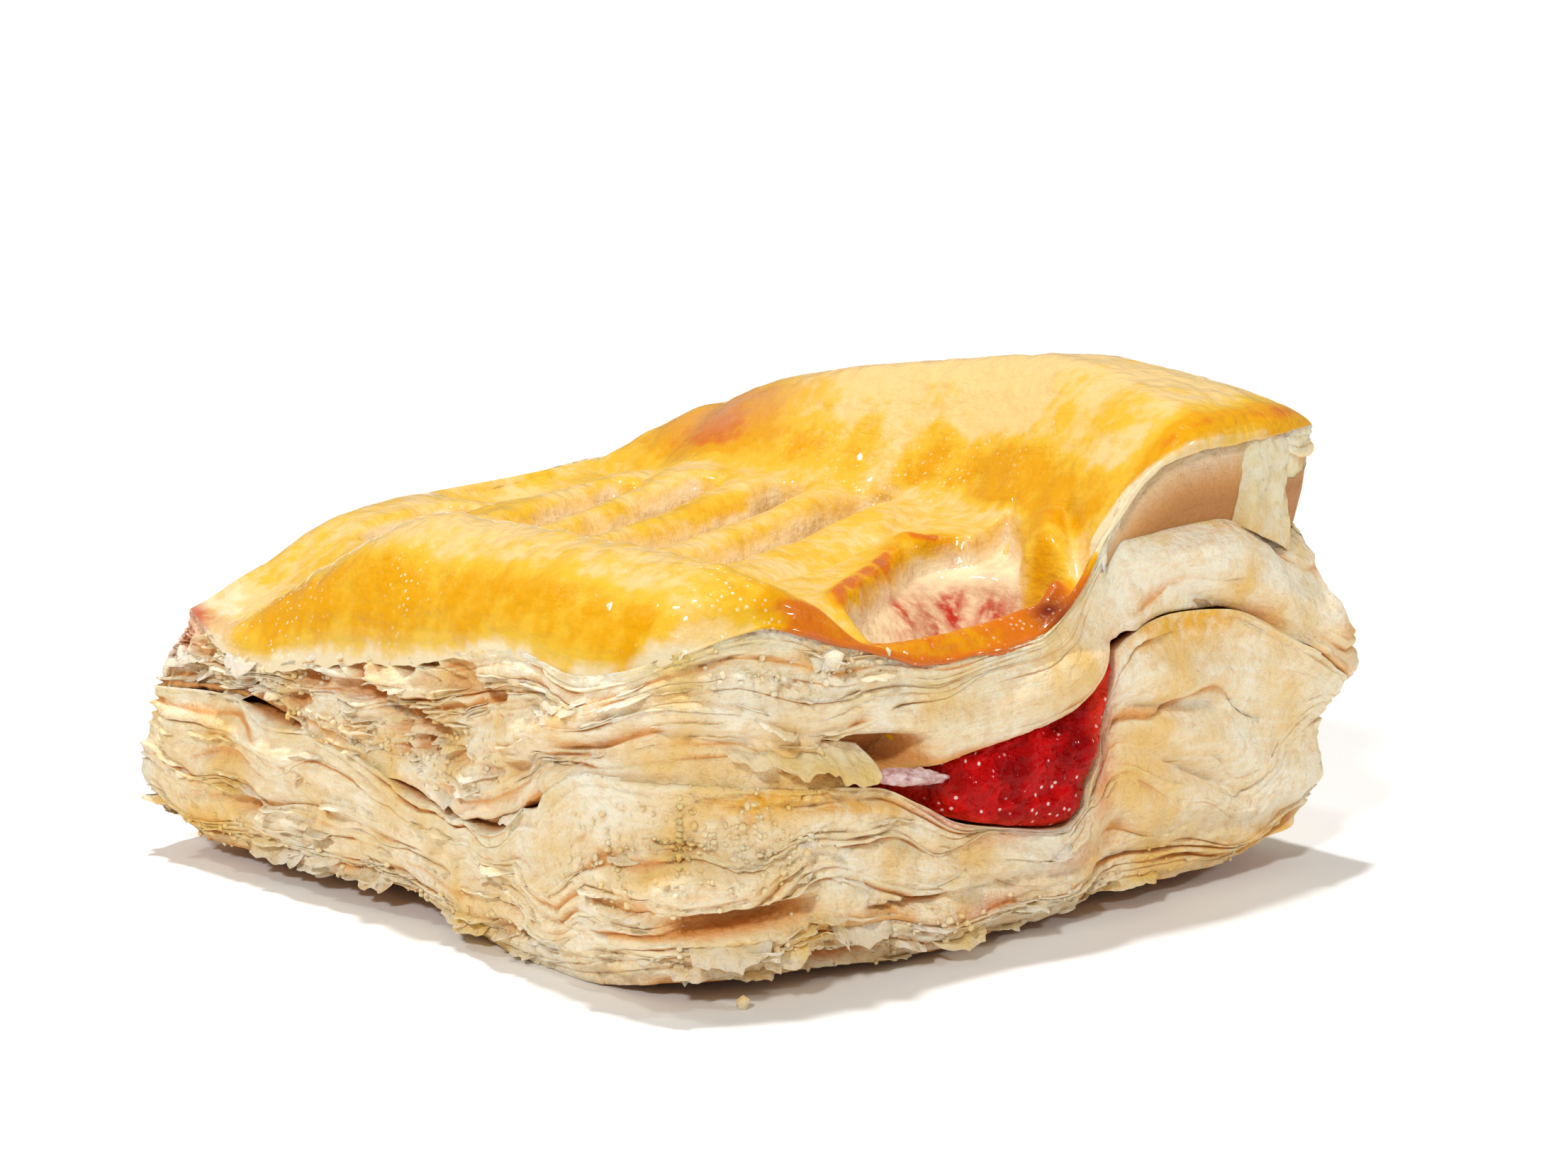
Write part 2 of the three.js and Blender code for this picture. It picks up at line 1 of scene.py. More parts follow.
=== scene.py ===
import bpy
import bmesh
import math
import numpy as np
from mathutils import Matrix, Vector


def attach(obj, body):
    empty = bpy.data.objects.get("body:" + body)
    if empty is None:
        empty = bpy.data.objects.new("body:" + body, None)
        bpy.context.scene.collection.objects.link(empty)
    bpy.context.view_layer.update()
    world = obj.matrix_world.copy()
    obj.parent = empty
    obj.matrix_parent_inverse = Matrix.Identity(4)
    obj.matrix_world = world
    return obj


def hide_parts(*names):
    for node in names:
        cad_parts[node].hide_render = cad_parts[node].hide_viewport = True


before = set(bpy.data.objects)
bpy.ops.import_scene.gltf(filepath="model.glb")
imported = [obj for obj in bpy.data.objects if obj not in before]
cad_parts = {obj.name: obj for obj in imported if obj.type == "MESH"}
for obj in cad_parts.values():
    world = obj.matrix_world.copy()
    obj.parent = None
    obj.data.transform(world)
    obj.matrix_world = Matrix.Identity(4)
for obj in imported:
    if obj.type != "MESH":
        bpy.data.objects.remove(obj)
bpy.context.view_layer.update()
bpy.ops.object.select_all(action="DESELECT")
print("frame loaded")

# Sizes are worked out in millimetres, in the square's own plan, and put in the frame at the end.
mm = 0.001
planShift = (-2.203, -1.691)  # where the plan's own origin lies in the frame


def mix(a, b, share):
    return a + (b - a) * share


def ease(value):
    t = np.clip(value, 0, 1)
    return t * t * (3 - 2 * t)


def band(value, start, startRamp, end, endRamp):
    # 1 between two places, rising after the first and falling before the second
    return ease((value - start) / startRamp) * ease((end - value) / endRamp)


def bell(distance, reach):
    return np.exp(-(distance / reach) ** 2)


def curve(points):
    # a smooth line through the points that never overshoots them
    px, py = np.array(points, float).T
    slope = np.diff(py) / np.diff(px)
    product = slope[:-1] * slope[1:]
    total = np.where(product > 0, slope[:-1] + slope[1:], 1)
    tangent = np.concatenate([slope[:1], np.where(product > 0, 2 * product / total, 0), slope[-1:]])

    def height(place):
        x = np.clip(place, px[0], px[-1])
        i = np.clip(np.searchsorted(px, x, side="right") - 1, 0, len(px) - 2)
        span = px[i + 1] - px[i]
        t = (x - px[i]) / span
        rise = py[i] * (2 * t**3 - 3 * t**2 + 1) + py[i + 1] * (3 * t**2 - 2 * t**3)
        return rise + span * (tangent[i] * (t**3 - 2 * t**2 + t) + tangent[i + 1] * (t**3 - t**2))

    return height


noiseTable = np.random.default_rng(7).uniform(-1, 1, (256, 256))


def noise(x, y):
    # smooth random heights from -1 to 1, one bump for each unit of x and y
    i, j = np.floor(x).astype(int), np.floor(y).astype(int)
    s, t = ease(x - i), ease(y - j)
    i, j, nextI, nextJ = i & 255, j & 255, (i + 1) & 255, (j + 1) & 255
    low = mix(noiseTable[i, j], noiseTable[nextI, j], s)
    high = mix(noiseTable[i, nextJ], noiseTable[nextI, nextJ], s)
    return mix(low, high, t)


def cloud(x, y, octaves=3):
    total = 0
    for octave in range(octaves):
        total = total + noise(x * 2**octave + 17.3 * octave, y * 2**octave + 31.9 * octave) / 2**octave
    return total


def cells(x, y, salt=0):
    # random cells one unit wide: how far the middle and the wall of each is, and its own number
    i, j = np.floor(x).astype(int), np.floor(y).astype(int)
    first, second, own = np.full(x.shape, 9.0), np.full(x.shape, 9.0), np.zeros(x.shape)
    for di in (-1, 0, 1):
        for dj in (-1, 0, 1):
            a, b = (i + di + salt) & 255, (j + dj + 3 * salt) & 255
            middleX = i + di + 0.5 + 0.42 * noiseTable[a, b]
            middleY = j + dj + 0.5 + 0.42 * noiseTable[b, a]
            far = np.hypot(x - middleX, y - middleY)
            nearer = far < first
            second = np.where(nearer, first, np.minimum(second, far))
            own = np.where(nearer, noiseTable[a, (b + 71) & 255], own)
            first = np.minimum(first, far)
    return first, second - first, own


# The form of the pastry, the same as in its solids, in mm
plan = {
    "frontLeft": (-44.5, -41.5),
    "frontRight": (49.5, -48),
    "backLeft": (-46.5, 48),
    "backRight": (48, 49.5),
    "round": {"frontLeft": 0.085, "frontRight": 0.055, "backLeft": 0.03, "backRight": 0.09},
    "bow": {"front": 1.6, "right": -0.5, "back": 0.8, "left": -2.2},
    "roundPower": 8,
    "width": 92.5,
    "depth": 94.5,
}
lowerEdge = {
    "front": curve([(-41, 2.2), (-25, 1.6), (-10, 0.8), (1, 1.2), (15, 2.5), (32, 2.3), (47, 6.3)]),
    "left": curve([(-38, 2.2), (-23, 0), (-9, 0.4), (7, 3.1), (21, 2.2), (38, 2.1), (47, 4.4)]),
    "right": curve([(-46, 6.3), (-33, 2.4), (-8, 0.3), (24, 0.9), (46, 2.6)]),
    "back": curve([(-45, 4.4), (-27, 1.1), (0, 0.2), (27, 0.9), (45, 2.6)]),
}
partingEdge = {
    "front": curve([
        (-41, 22.8), (-29, 20.9), (-20, 19.9), (-14.5, 17.4), (-9.5, 14.7), (-2, 12.8), (5.4, 11.5),
        (7.6, 13), (9.6, 18.7), (11.6, 29.6), (20, 32.1), (28.5, 31.4), (40, 26.7), (47, 21.5),
    ]),
    "left": curve([
        (-38, 22.8), (-28, 22.3), (-19, 17.4), (-11, 13.6), (0, 14.7), (13, 17.4), (30, 19.6), (47, 18.4),
    ]),
    "right": curve([(-46, 21.5), (-28, 20.6), (0, 19), (46, 18)]),
    "back": curve([(-45, 18.4), (-18, 17.4), (10, 18.6), (45, 18)]),
}
openingEdge = {
    "front": curve([
        (-41, 0.4), (-25, 0.4), (-19.5, 1.2), (-15, 3.2), (-9.5, 7), (-2, 9.9), (5.4, 13), (7.6, 14.2),
        (9.6, 11.6), (11.6, 1.7), (14, 1.9), (29, 2.8), (38, 1.2), (47, 0.5),
    ]),
    "left": curve([(-38, 0.4), (-19, 0.4), (0, 0.6), (9, 1.2), (20, 0.5), (34, 1.5), (47, 1.3)]),
    "right": curve([(-46, 0.5), (-10, 0.5), (10, 0.9), (46, 0.5)]),
    "back": curve([(-45, 1.3), (-10, 0.5), (20, 0.8), (45, 0.5)]),
}
rimEdge = {
    "front": curve([
        (-41, 35.6), (-33, 37.9), (-23, 34.9), (-10, 32.1), (0, 32.8), (4.5, 35.4), (10, 41.6),
        (17, 48.1), (24, 50.2), (34, 50.4), (42, 50.2), (47, 50),
    ]),
    "left": curve([
        (-38, 35.6), (-33, 33.4), (-26, 32), (-18, 33), (-1.5, 29.8), (16, 27.1), (26, 24.8),
        (36, 25.9), (47, 28.2),
    ]),
    "right": curve([(-46, 50), (-36, 49), (-20, 47.2), (12, 43), (34, 38), (46, 34)]),
    "back": curve([(-45, 28.2), (-33, 30.2), (-20, 33), (-8, 36.2), (6, 36.8), (27, 37.5), (45, 34)]),
}
hollow = {
    "clearance": 0.3,
    "floor": 12.5,
    "thickness": 9,
    "partingInside": 18.6,
    "left": -19.5,
    "right": 24,
    "back": 32,
    "taper": 9,
    "edgeThickness": 0.75,
    "sheetReach": 15,
}
underside = {"shrink": 0.955, "reach": 11, "tuck": 2.4, "tuckShare": 0.3}
top = {
    "low": 37, "high": 40, "from": -8, "to": 26,
    "ridgeX": -32,
    "ridgeRise": curve([(-46, 3.4), (-38, 5), (-30, 5.8), (8, 5.2), (22, 0.8), (34, -2.4), (48, -2.6)]),
    "ridgeWidth": 7,
    "crestX": curve([(-47, 26), (-36, 30), (-25, 34), (-10, 36), (22, 36), (48, 32)]),
    "footX": curve([(-47, 4), (-36, 10), (-25, 14), (-14, 19), (0, 21), (30, 19), (48, 21)]),
    "humpTop": curve([
        (-47, 52), (-36, 54.4), (-20, 56), (-8, 54.8), (18, 51), (30, 48.2), (40, 43.4), (48, 39.2),
    ]),
    "frontDip": {"depth": 3.2, "from": -26, "to": 13, "start": -35, "ramp": 6},
    "backDip": {"depth": 3.2, "from": -8, "start": 28, "ramp": 15},
    "droop": {"x": -41, "y": 44, "depth": 7, "reach": 15},
    "shoulder": (3.2, 11, 4.5, 12),  # front, right, back, left
}
slits = {
    "rows": [
        {"y": -7.5, "slope": 0.27, "from": -20, "to": 25, "depth": 3.8},
        {"y": 4.5, "slope": 0.28, "from": -21, "to": 22, "depth": 3.8},
        {"y": 15, "slope": 0.3, "from": -22, "to": 18, "depth": 2.8},
        {"y": 25.5, "slope": 0.33, "from": -22, "to": 13, "depth": 3.2},
        {"y": 38, "slope": 0.1, "from": -25, "to": -6, "depth": 2.4},
    ],
    "width": 2.5,
    "ramp": 5.5,
    "open": {
        "left": -18, "leftRamp": 8, "right": 10.5, "rightRamp": 3, "front": -43,
        "back": curve([(-20, -37.5), (-14, -34), (0, -26), (7, -22.5), (12, -26)]),
        "depth": 8.5, "deepest": 0.25,
    },
}
folds = {
    "front": [
        (-33, 7, 9, 4, 1.8), (-27, 2.8, 9, 1.6, -2.2), (-12, 5, 7, 3, 1.2), (22, 20, 9, 9, 1.2),
        (-28, 27, 10, 2, -1.4), (-20, 23, 5, 1.8, -3), (6, 29, 9, 4, 1.6), (46, 24.5, 12, 6.5, 3.2),
        (46, 9, 9, 5, 1.2), (44, 41, 7, 4, -2.6),
    ],
    "left": [
        (43, 8, 9, 8, 1.4), (40, 21, 10, 3, -2.2), (4, 7, 14, 4, -1.4), (-4, 22, 12, 3, -1.4),
        (-32, 13, 9, 6, 1.2),
    ],
    "back": [(-42, 8, 8, 8, 1.2), (27, 38, 12, 6, 2.4)],
    "right": [(-42, 24, 16, 7, 3), (-42, 9, 12, 5, 1.2), (-34, 41, 16, 4, -3)],
}
pulls = [
    {"x": -45, "y": 47, "moveX": 2.8, "moveY": -3.2, "reach": 11, "from": 0.15},
    {"x": 47, "y": -46, "moveX": -0.4, "moveY": 0.4, "reach": 7, "from": 0.84},
    {"x": 27, "y": 49, "moveX": -0.5, "moveY": 1.6, "reach": 9, "from": 0.5},
]
arch = {
    "from": 10, "to": 41, "ramp": 4, "deepFrom": 21, "shallow": 0.25, "skin": 1.7,
    "foldTop": curve([(10, 41), (20, 41.8), (29, 41.9), (36, 39.6), (44, 36)]),
    # height and depth inwards against the share of the way up the side, in ninths
    "height": curve([
        (0, 0), (1, 0.3), (2, 0.62), (3, 0.86), (4, 1), (5, 1.06), (6, 1.4), (7, 1.78), (8, 1.84), (9, 2),
    ]),
    "depth": curve([
        (0, 0), (1, -0.4), (2, -0.9), (3, 0.3), (4, 3.2), (5, 11.5), (6, 13.5), (7, 11), (8, 1.8), (9, 0.2),
    ]),
    "steps": 9,
}


def planAt(u, v):
    # from shares of the square's width and depth to a place in its plan
    r = plan["round"]
    round_ = mix(mix(r["frontLeft"], r["frontRight"], u), mix(r["backLeft"], r["backRight"], u), v)
    a = (2 * u - 1) * (1 - round_ * np.abs(2 * v - 1) ** plan["roundPower"])
    b = (2 * v - 1) * (1 - round_ * np.abs(2 * u - 1) ** plan["roundPower"])
    s, t = (a + 1) / 2, (b + 1) / 2
    front, back = (
        [mix(plan[end + "Left"][n], plan[end + "Right"][n], s) for n in (0, 1)] for end in ("front", "back"))
    x, y = (mix(front[n], back[n], t) for n in (0, 1))
    bow = plan["bow"]
    y = y + np.sin(math.pi * s) * (bow["back"] * t**3 - bow["front"] * (1 - t) ** 3)
    x = x + np.sin(math.pi * t) * (bow["right"] * s**3 - bow["left"] * (1 - s) ** 3)
    return x, y


def sideDistances(u, v):
    return [v * plan["depth"], (1 - u) * plan["width"], (1 - v) * plan["depth"], u * plan["width"]]


def fadingWeights(u, v, reach):
    return [1 - ease(distance / reach) for distance in sideDistances(u, v)]


def roundedWeights(u, v):
    inward = [1 - np.clip(d / r, 0, 1) for d, r in zip(sideDistances(u, v), top["shoulder"])]
    return [1 - np.sqrt(1 - share * share) for share in inward]


def fromEdges(edge, u, v, inner, weight):
    # a height that meets the four side curves at the edges and the inner height within
    front, right, back, left = weight
    zero, one = np.zeros_like(u), np.ones_like(u)
    atFront = edge["front"](planAt(u, zero)[0]) - inner
    atBack = edge["back"](planAt(u, one)[0]) - inner
    atLeft = edge["left"](planAt(zero, v)[1]) - inner
    atRight = edge["right"](planAt(one, v)[1]) - inner

    def corner(side, s, t):
        return edge[side](planAt(s, t)[0]) - inner

    sides = atFront * front + atBack * back + atLeft * left + atRight * right
    fronts = corner("front", zero, zero) * front * left + corner("front", one, zero) * front * right
    backs = corner("back", zero, one) * back * left + corner("back", one, one) * back * right
    return inner + sides - fronts - backs


def fillingShare(x, y):
    share = 1
    for distance in (x - hollow["left"], hollow["right"] - x, hollow["back"] - y):
        share = share * ease(distance / hollow["taper"] + hollow["edgeThickness"])
    return share


def lowerTop(u, v):
    inner = mix(hollow["partingInside"], hollow["floor"], fillingShare(*planAt(u, v)))
    return fromEdges(partingEdge, u, v, inner, fadingWeights(u, v, hollow["sheetReach"]))


def upperBottom(u, v):
    inner = 2 * hollow["clearance"] + hollow["thickness"] * fillingShare(*planAt(u, v))
    return lowerTop(u, v) + fromEdges(openingEdge, u, v, inner, fadingWeights(u, v, hollow["sheetReach"]))


def lowerBottom(u, v):
    return fromEdges(lowerEdge, u, v, np.zeros_like(u), fadingWeights(u, v, underside["reach"]))


def slitDepth(x, y):
    depth = 0
    for slit in slits["rows"]:
        along = band(x, slit["from"], slits["ramp"], slit["to"], slits["ramp"])
        depth = depth + slit["depth"] * along * bell(y - slit["y"] - slit["slope"] * x, slits["width"])
    return depth


def openSlitDepth(x, y):
    slit = slits["open"]
    across = np.clip((y - slit["front"]) / (slit["back"](x) - slit["front"]), 0, 1)
    before = ease(across / slit["deepest"])
    behind = 1 - ease((across - slit["deepest"]) / (1 - slit["deepest"]))
    along = band(x, slit["left"], slit["leftRamp"], slit["right"], slit["rightRamp"])
    return slit["depth"] * along * np.minimum(before, behind)


def crustHeight(x, y):
    flat = mix(top["low"], top["high"], ease((x - top["from"]) / (top["to"] - top["from"])))
    onRidge = top["ridgeRise"](y) * np.where(x < top["ridgeX"], 1, bell(x - top["ridgeX"], top["ridgeWidth"]))
    foot, crest = top["footX"](y), top["crestX"](y)
    climb = ease((x - foot) / (crest - foot))
    dip = top["frontDip"]
    dipFront = dip["depth"] * ease((dip["start"] - y) / dip["ramp"])
    dipFront = dipFront * band(x, dip["from"], dip["ramp"], dip["to"], dip["ramp"])
    dip = top["backDip"]
    dipBack = dip["depth"] * ease((y - dip["start"]) / dip["ramp"]) * ease((x - dip["from"]) / dip["ramp"])
    droop = top["droop"]
    drooping = droop["depth"] * bell(np.hypot(x - droop["x"], y - droop["y"]), droop["reach"])
    flat = mix(flat + onRidge - dipFront - dipBack, top["humpTop"](y), climb)
    return flat - drooping - slitDepth(x, y) - openSlitDepth(x, y)


def upperTop(u, v):
    return fromEdges(rimEdge, u, v, crustHeight(*planAt(u, v)), roundedWeights(u, v))


def pulled(x, y, share):
    toX, toY = x, y
    for pull in pulls:
        amount = bell(np.hypot(x - pull["x"], y - pull["y"]), pull["reach"])
        amount = amount * ease((share - pull["from"]) / (1 - pull["from"]))
        toX, toY = toX + pull["moveX"] * amount, toY + pull["moveY"] * amount
    return toX, toY


def spotsOn(spots, walk, z):
    # the sum of long or round spots on the sides, each fading away from its middle. A spot is its
    # place along the side and up it, its reach both ways, its strength, its slope and how square it is
    total = 0
    for side, rows in spots.items():
        along = walk["x"] if side in ("front", "back") else walk["y"]
        onSide = ease(walk["facing"][side] * math.sqrt(2))
        for at, height, wide, high, strength, *more in rows:
            slope = more[0] if more else 0
            power = more[1] if len(more) > 1 else 2
            far = (np.abs(along - at) / wide) ** power
            far = far + (np.abs(z - height - slope * (along - at)) / high) ** power
            total = total + strength * np.exp(-far) * onSide
    return total


# The four sides as a walk round them: where each starts and goes, and its share of the points
sideOrder = [
    ("back", (1, 1), (-1, 0), 0.17),
    ("left", (0, 1), (0, -1), 0.32),
    ("front", (0, 0), (1, 0), 0.34),
    ("right", (1, 0), (0, 1), 0.17),
]


def walkRound(count):
    # points along the outline, anticlockwise from the back right corner, closer where they show
    u, v, side = [], [], []
    for name, start, step, share in sideOrder:
        number = round(count * share)
        if name == "right":
            number = count - len(u)
        for n in range(number):
            u.append(start[0] + step[0] * n / number)
            v.append(start[1] + step[1] * n / number)
            side.append(name)
    walk = {"u": np.array(u), "v": np.array(v), "side": np.array(side)}
    walk["x"], walk["y"] = planAt(walk["u"], walk["v"])
    stepX = np.roll(walk["x"], -1) - np.roll(walk["x"], 1)
    stepY = np.roll(walk["y"], -1) - np.roll(walk["y"], 1)
    length = np.hypot(stepX, stepY)
    walk["outX"], walk["outY"] = stepY / length, -stepX / length
    walk["facing"] = {
        "front": -walk["outY"], "right": walk["outX"], "back": walk["outY"], "left": -walk["outX"],
    }
    walk["far"] = np.concatenate([[0], np.cumsum(np.hypot(np.diff(walk["x"]), np.diff(walk["y"])))])
    walk["round"] = walk["far"][-1] + np.hypot(walk["x"][0] - walk["x"][-1], walk["y"][0] - walk["y"][-1])
    return walk


def roundNoise(walk, length, salt):
    # noise along the outline that closes on itself, with bumps of the given length
    turn = 2 * math.pi * walk["far"] / walk["round"]
    radius = walk["round"] / (2 * math.pi * length)
    return noise(radius * np.cos(turn) + 13.7 * salt + 90, radius * np.sin(turn) + 7.9 * salt + 40)


def selectOnly(piece):
    bpy.ops.object.select_all(action="DESELECT")
    piece.select_set(True)
    bpy.context.view_layer.objects.active = piece


def joinScene(name, holdsData):
    # puts new data in the scene as an object
    added = bpy.data.objects.new(name, holdsData)
    bpy.context.scene.collection.objects.link(added)
    return added


def facesOutward():
    # ends the modelling of a closed piece
    bpy.ops.mesh.select_all(action="SELECT")
    bpy.ops.mesh.normals_make_consistent(inside=False)
    bpy.ops.object.mode_set(mode="OBJECT")


def unitGrid(name, across, up):
    # a flat grid of faces from the origin, one unit wide and high
    bpy.ops.mesh.primitive_grid_add(x_subdivisions=across, y_subdivisions=up, size=1, location=(0.5, 0.5, 0))
    piece = bpy.context.object
    piece.name = name
    bpy.ops.object.transform_apply(location=True, rotation=True, scale=True)
    return piece


def coordinates(piece):
    found = np.empty(len(piece.data.vertices) * 3)
    piece.data.vertices.foreach_get("co", found)
    return found.reshape(-1, 3)


def place(piece, x, y, z):
    # moves every vertex from the modelled block to its place in the frame
    spot = np.stack([(x + planShift[0]) * mm, (y + planShift[1]) * mm, z * mm], 1)
    piece.data.vertices.foreach_set("co", spot.ravel())
    piece.data.update()


def paint(piece, name, values):
    attribute = piece.data.attributes.new(name, "FLOAT", "POINT")
    attribute.data.foreach_set("value", np.asarray(values, np.float32))


def finishPiece(piece, nodes, material):
    selectOnly(piece)
    bpy.ops.object.shade_smooth()
    piece.data.materials.clear()
    piece.data.materials.append(material)
    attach(piece, "root")
    if nodes:
        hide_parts(*nodes)
    bpy.ops.object.select_all(action="DESELECT")


def extrudeRing(move=(0, 0, 0), size=1):
    bpy.ops.mesh.extrude_region_move(TRANSFORM_OT_translate={"value": move})
    if size != 1:
        bpy.ops.transform.resize(value=(size, size, 1))


def selectEdges(piece, wanted):
    # selects the edges whose two ends pass the test
    bpy.ops.mesh.select_mode(type="EDGE")
    bpy.ops.mesh.select_all(action="DESELECT")
    mesh = bmesh.from_edit_mesh(piece.data)
    for edge in mesh.edges:
        edge.select = wanted(edge.verts[0].co, edge.verts[1].co)
    mesh.select_flush_mode()
    bmesh.update_edit_mesh(piece.data)


def selectBorder(piece, edge):
    # the edges all round a unit grid
    selectEdges(piece, lambda a, b: any(
        abs(a[n] - end) < edge and abs(b[n] - end) < edge for n in (0, 1) for end in (0, 1)))


def drum(name, around, rings, caps):
    # an upright drum: its side has one ring of faces for each step up the pastry's side
    bpy.ops.mesh.primitive_cylinder_add(
        vertices=around, radius=1, depth=rings, location=(0, 0, rings / 2), end_fill_type="NOTHING")
    piece = bpy.context.object
    piece.name = name
    bpy.ops.object.transform_apply(location=True, rotation=True, scale=True)
    bpy.ops.object.mode_set(mode="EDIT")
    selectEdges(piece, lambda a, b: abs(a.z - b.z) > rings / 2)
    bpy.ops.mesh.subdivide(number_cuts=rings - 1)
    for level in (0, rings):
        selectEdges(piece, lambda a, b: abs(a.z - level) < 0.1 and abs(b.z - level) < 0.1)
        for size in caps:
            extrudeRing(size=size)
        bpy.ops.mesh.merge(type="CENTER")
    facesOutward()
    return piece


def drumPlaces(piece, walk, rings):
    # each vertex's number round the drum and its ring, whether it is low and whether on a cap, how
    # far it is from the axis, and its shares of the square's width and depth
    co = coordinates(piece)
    around, radius = len(walk["x"]), np.hypot(co[:, 0], co[:, 1])
    turn = np.arctan2(co[:, 0], co[:, 1])  # a cylinder's first vertex lies on +Y
    number = np.round(-turn / (2 * math.pi) * around).astype(int) % around
    ring = np.clip(np.round(co[:, 2]).astype(int), 0, rings)
    u, v = (0.5 + (walk[name][number] - 0.5) * radius for name in ("u", "v"))
    return number, ring, co[:, 2] < rings / 2, radius < 0.999, radius, u, v


# How one leaf's edge is drawn: the share of its height, and how its lip stands out there
leafProfile = {
    "up": np.array([0, 0.08, 0.24, 0.44, 0.64, 0.82, 0.94]),
    "round": np.array([0, 0.5, 0.85, 1, 0.95, 0.75, 0.4]),
    "ledge": np.array([0, 0.08, 0.28, 0.55, 0.9, 1.1, 0.9]),
}
# How far apart, in mm round the side, each kind of unevenness of a leaf's edge comes back
leafBumps = {
    "thick": 21, "thickFine": 7, "calm": 15, "deep": 9, "tip": 13, "tipFine": 4.5,
    "torn": 1.5, "tornFine": 0.8, "flake": 7, "drawn": 10,
}
# Where the two sheets have baked together along the parting line, 1, and where a gap shows, 0
closedAt = {
    "front": curve([(-41, 1), (-25, 1), (-22, 0.2), (-15, 0), (11.6, 0), (15, 0.9), (47, 0.9)]),
    "left": curve([
        (-38, 1), (-22, 1), (-20, 0.3), (-17, 0.9), (-14, 0.3), (-10, 0.3), (-7, 1), (-5, 0.4), (2, 0.4),
        (5, 1), (18, 1), (21, 0.2), (27, 0.2), (30, 1), (47, 1),
    ]),
    "right": curve([(-46, 0.9), (46, 0.9)]),
    "back": curve([(-45, 0.9), (45, 0.9)]),
}
# How much further, in mm, torn slots open the parting line
slotsAt = {
    "front": curve([(-41, 0), (47, 0)]),
    "left": curve([
        (-38, 0), (-22, 0), (-20.3, 1.3), (-18, 0.1), (-14.5, 1.3), (-10.5, 1.2), (-8, 0), (-6, 1.1),
        (-3, 0.2), (0, 1), (3, 0.7), (5, 0), (18, 0), (21, 0.9), (25.5, 2.4), (29, 1.2), (31, 0), (47, 0),
    ]),
    "right": curve([(-46, 0), (46, 0)]),
    "back": curve([(-45, 0), (45, 0)]),
}


def sideValue(walk, values):
    # one value for each side, blended where the outline turns
    return sum(values[name] * np.clip(walk["facing"][name], 0, 1) ** 2 for name in values)


def sideCurve(walk, curves):
    along = {"front": walk["x"], "back": walk["x"], "left": walk["y"], "right": walk["y"]}
    return sum(np.where(walk["side"] == name, curves[name](along[name]), 0) for name in curves)


def leafWall(walk, made, swell):
    # the leaves' edges up the whole side: the share of the height and the way out of each ring
    count, seed, relief, bumps = made["leaves"], made["seed"], made["relief"], leafBumps
    draw = np.random.default_rng(int(seed))
    numbers = np.arange(count)
    own = draw.normal(0, 0.5, count)
    thick = np.stack([
        np.exp(own[n] + roundNoise(walk, bumps["thick"], seed + 3.1 * n)
               + 0.65 * roundNoise(walk, bumps["thickFine"], seed + 5.3 * n))
        for n in numbers
    ]) * swell
    edges = np.concatenate([np.zeros((1, thick.shape[1])), np.cumsum(thick, 0)])
    edges = edges / edges[-1]
    creaseDepth = sideValue(walk, relief["crease"])
    ragged = sideValue(walk, relief["ragged"])
    reach = sideValue(walk, relief["flake"])
    shares, outs, creases = [], [], []
    for n in numbers:
        salt = seed + 11 * n
        strength = math.exp(draw.normal(-0.1, 0.55))
        calm = 0.62 + 1.1 * roundNoise(walk, bumps["calm"], 0.37 * n + seed)
        calm = ease(calm + 0.5 * roundNoise(walk, bumps["calm"] / 3, 0.7 * n + seed))
        deep = 0.5 + 0.9 * roundNoise(walk, bumps["deep"], salt + 1)
        deep = ease(deep + 0.4 * roundNoise(walk, bumps["deep"] / 3, salt + 2))
        crease = -creaseDepth * strength * (0.1 + deep**2 * (1 + 0.6 * roundNoise(walk, 5, salt + 3)))
        crease = crease * mix(0.15, 1, calm)
        tip = 0.9 * roundNoise(walk, bumps["tip"], salt + 4)
        tip = relief["tip"] * (tip + 0.6 * roundNoise(walk, bumps["tipFine"], salt + 5))
        torn = roundNoise(walk, bumps["torn"], salt + 6)
        torn = ragged * (torn + 0.6 * roundNoise(walk, bumps["tornFine"], salt + 7))
        flake = reach * np.clip(roundNoise(walk, bumps["flake"], salt + 8) - 0.42, 0, 1)
        ledge = ease(0.5 + 1.2 * roundNoise(walk, 8, salt + 9))
        drawn = ease(0.5 + 1.5 * roundNoise(walk, bumps["drawn"], salt + 10))
        lip = 0.3 * relief["tip"] + (tip + flake) * mix(0.5, 1, calm) + torn * (0.2 + deep)
        droop = (0.3 * drawn * deep + 0.16 * flake) * 0.9
        for up, rounded, stepped in zip(*leafProfile.values()):
            profile = mix(rounded, stepped, ledge)
            share = edges[n] + (edges[n + 1] - edges[n]) * np.clip(up - droop * profile, -0.25, 1)
            shares.append(share if up else edges[n])
            outs.append(mix(crease, lip, profile) if up else crease)
            creases.append((1 - profile) * deep * mix(0.2, 1, calm))
    shares.append(edges[-1])
    outs.append(np.zeros_like(edges[-1]))
    creases.append(np.zeros_like(edges[-1]))
    return np.stack(shares), np.stack(outs), np.stack(creases)


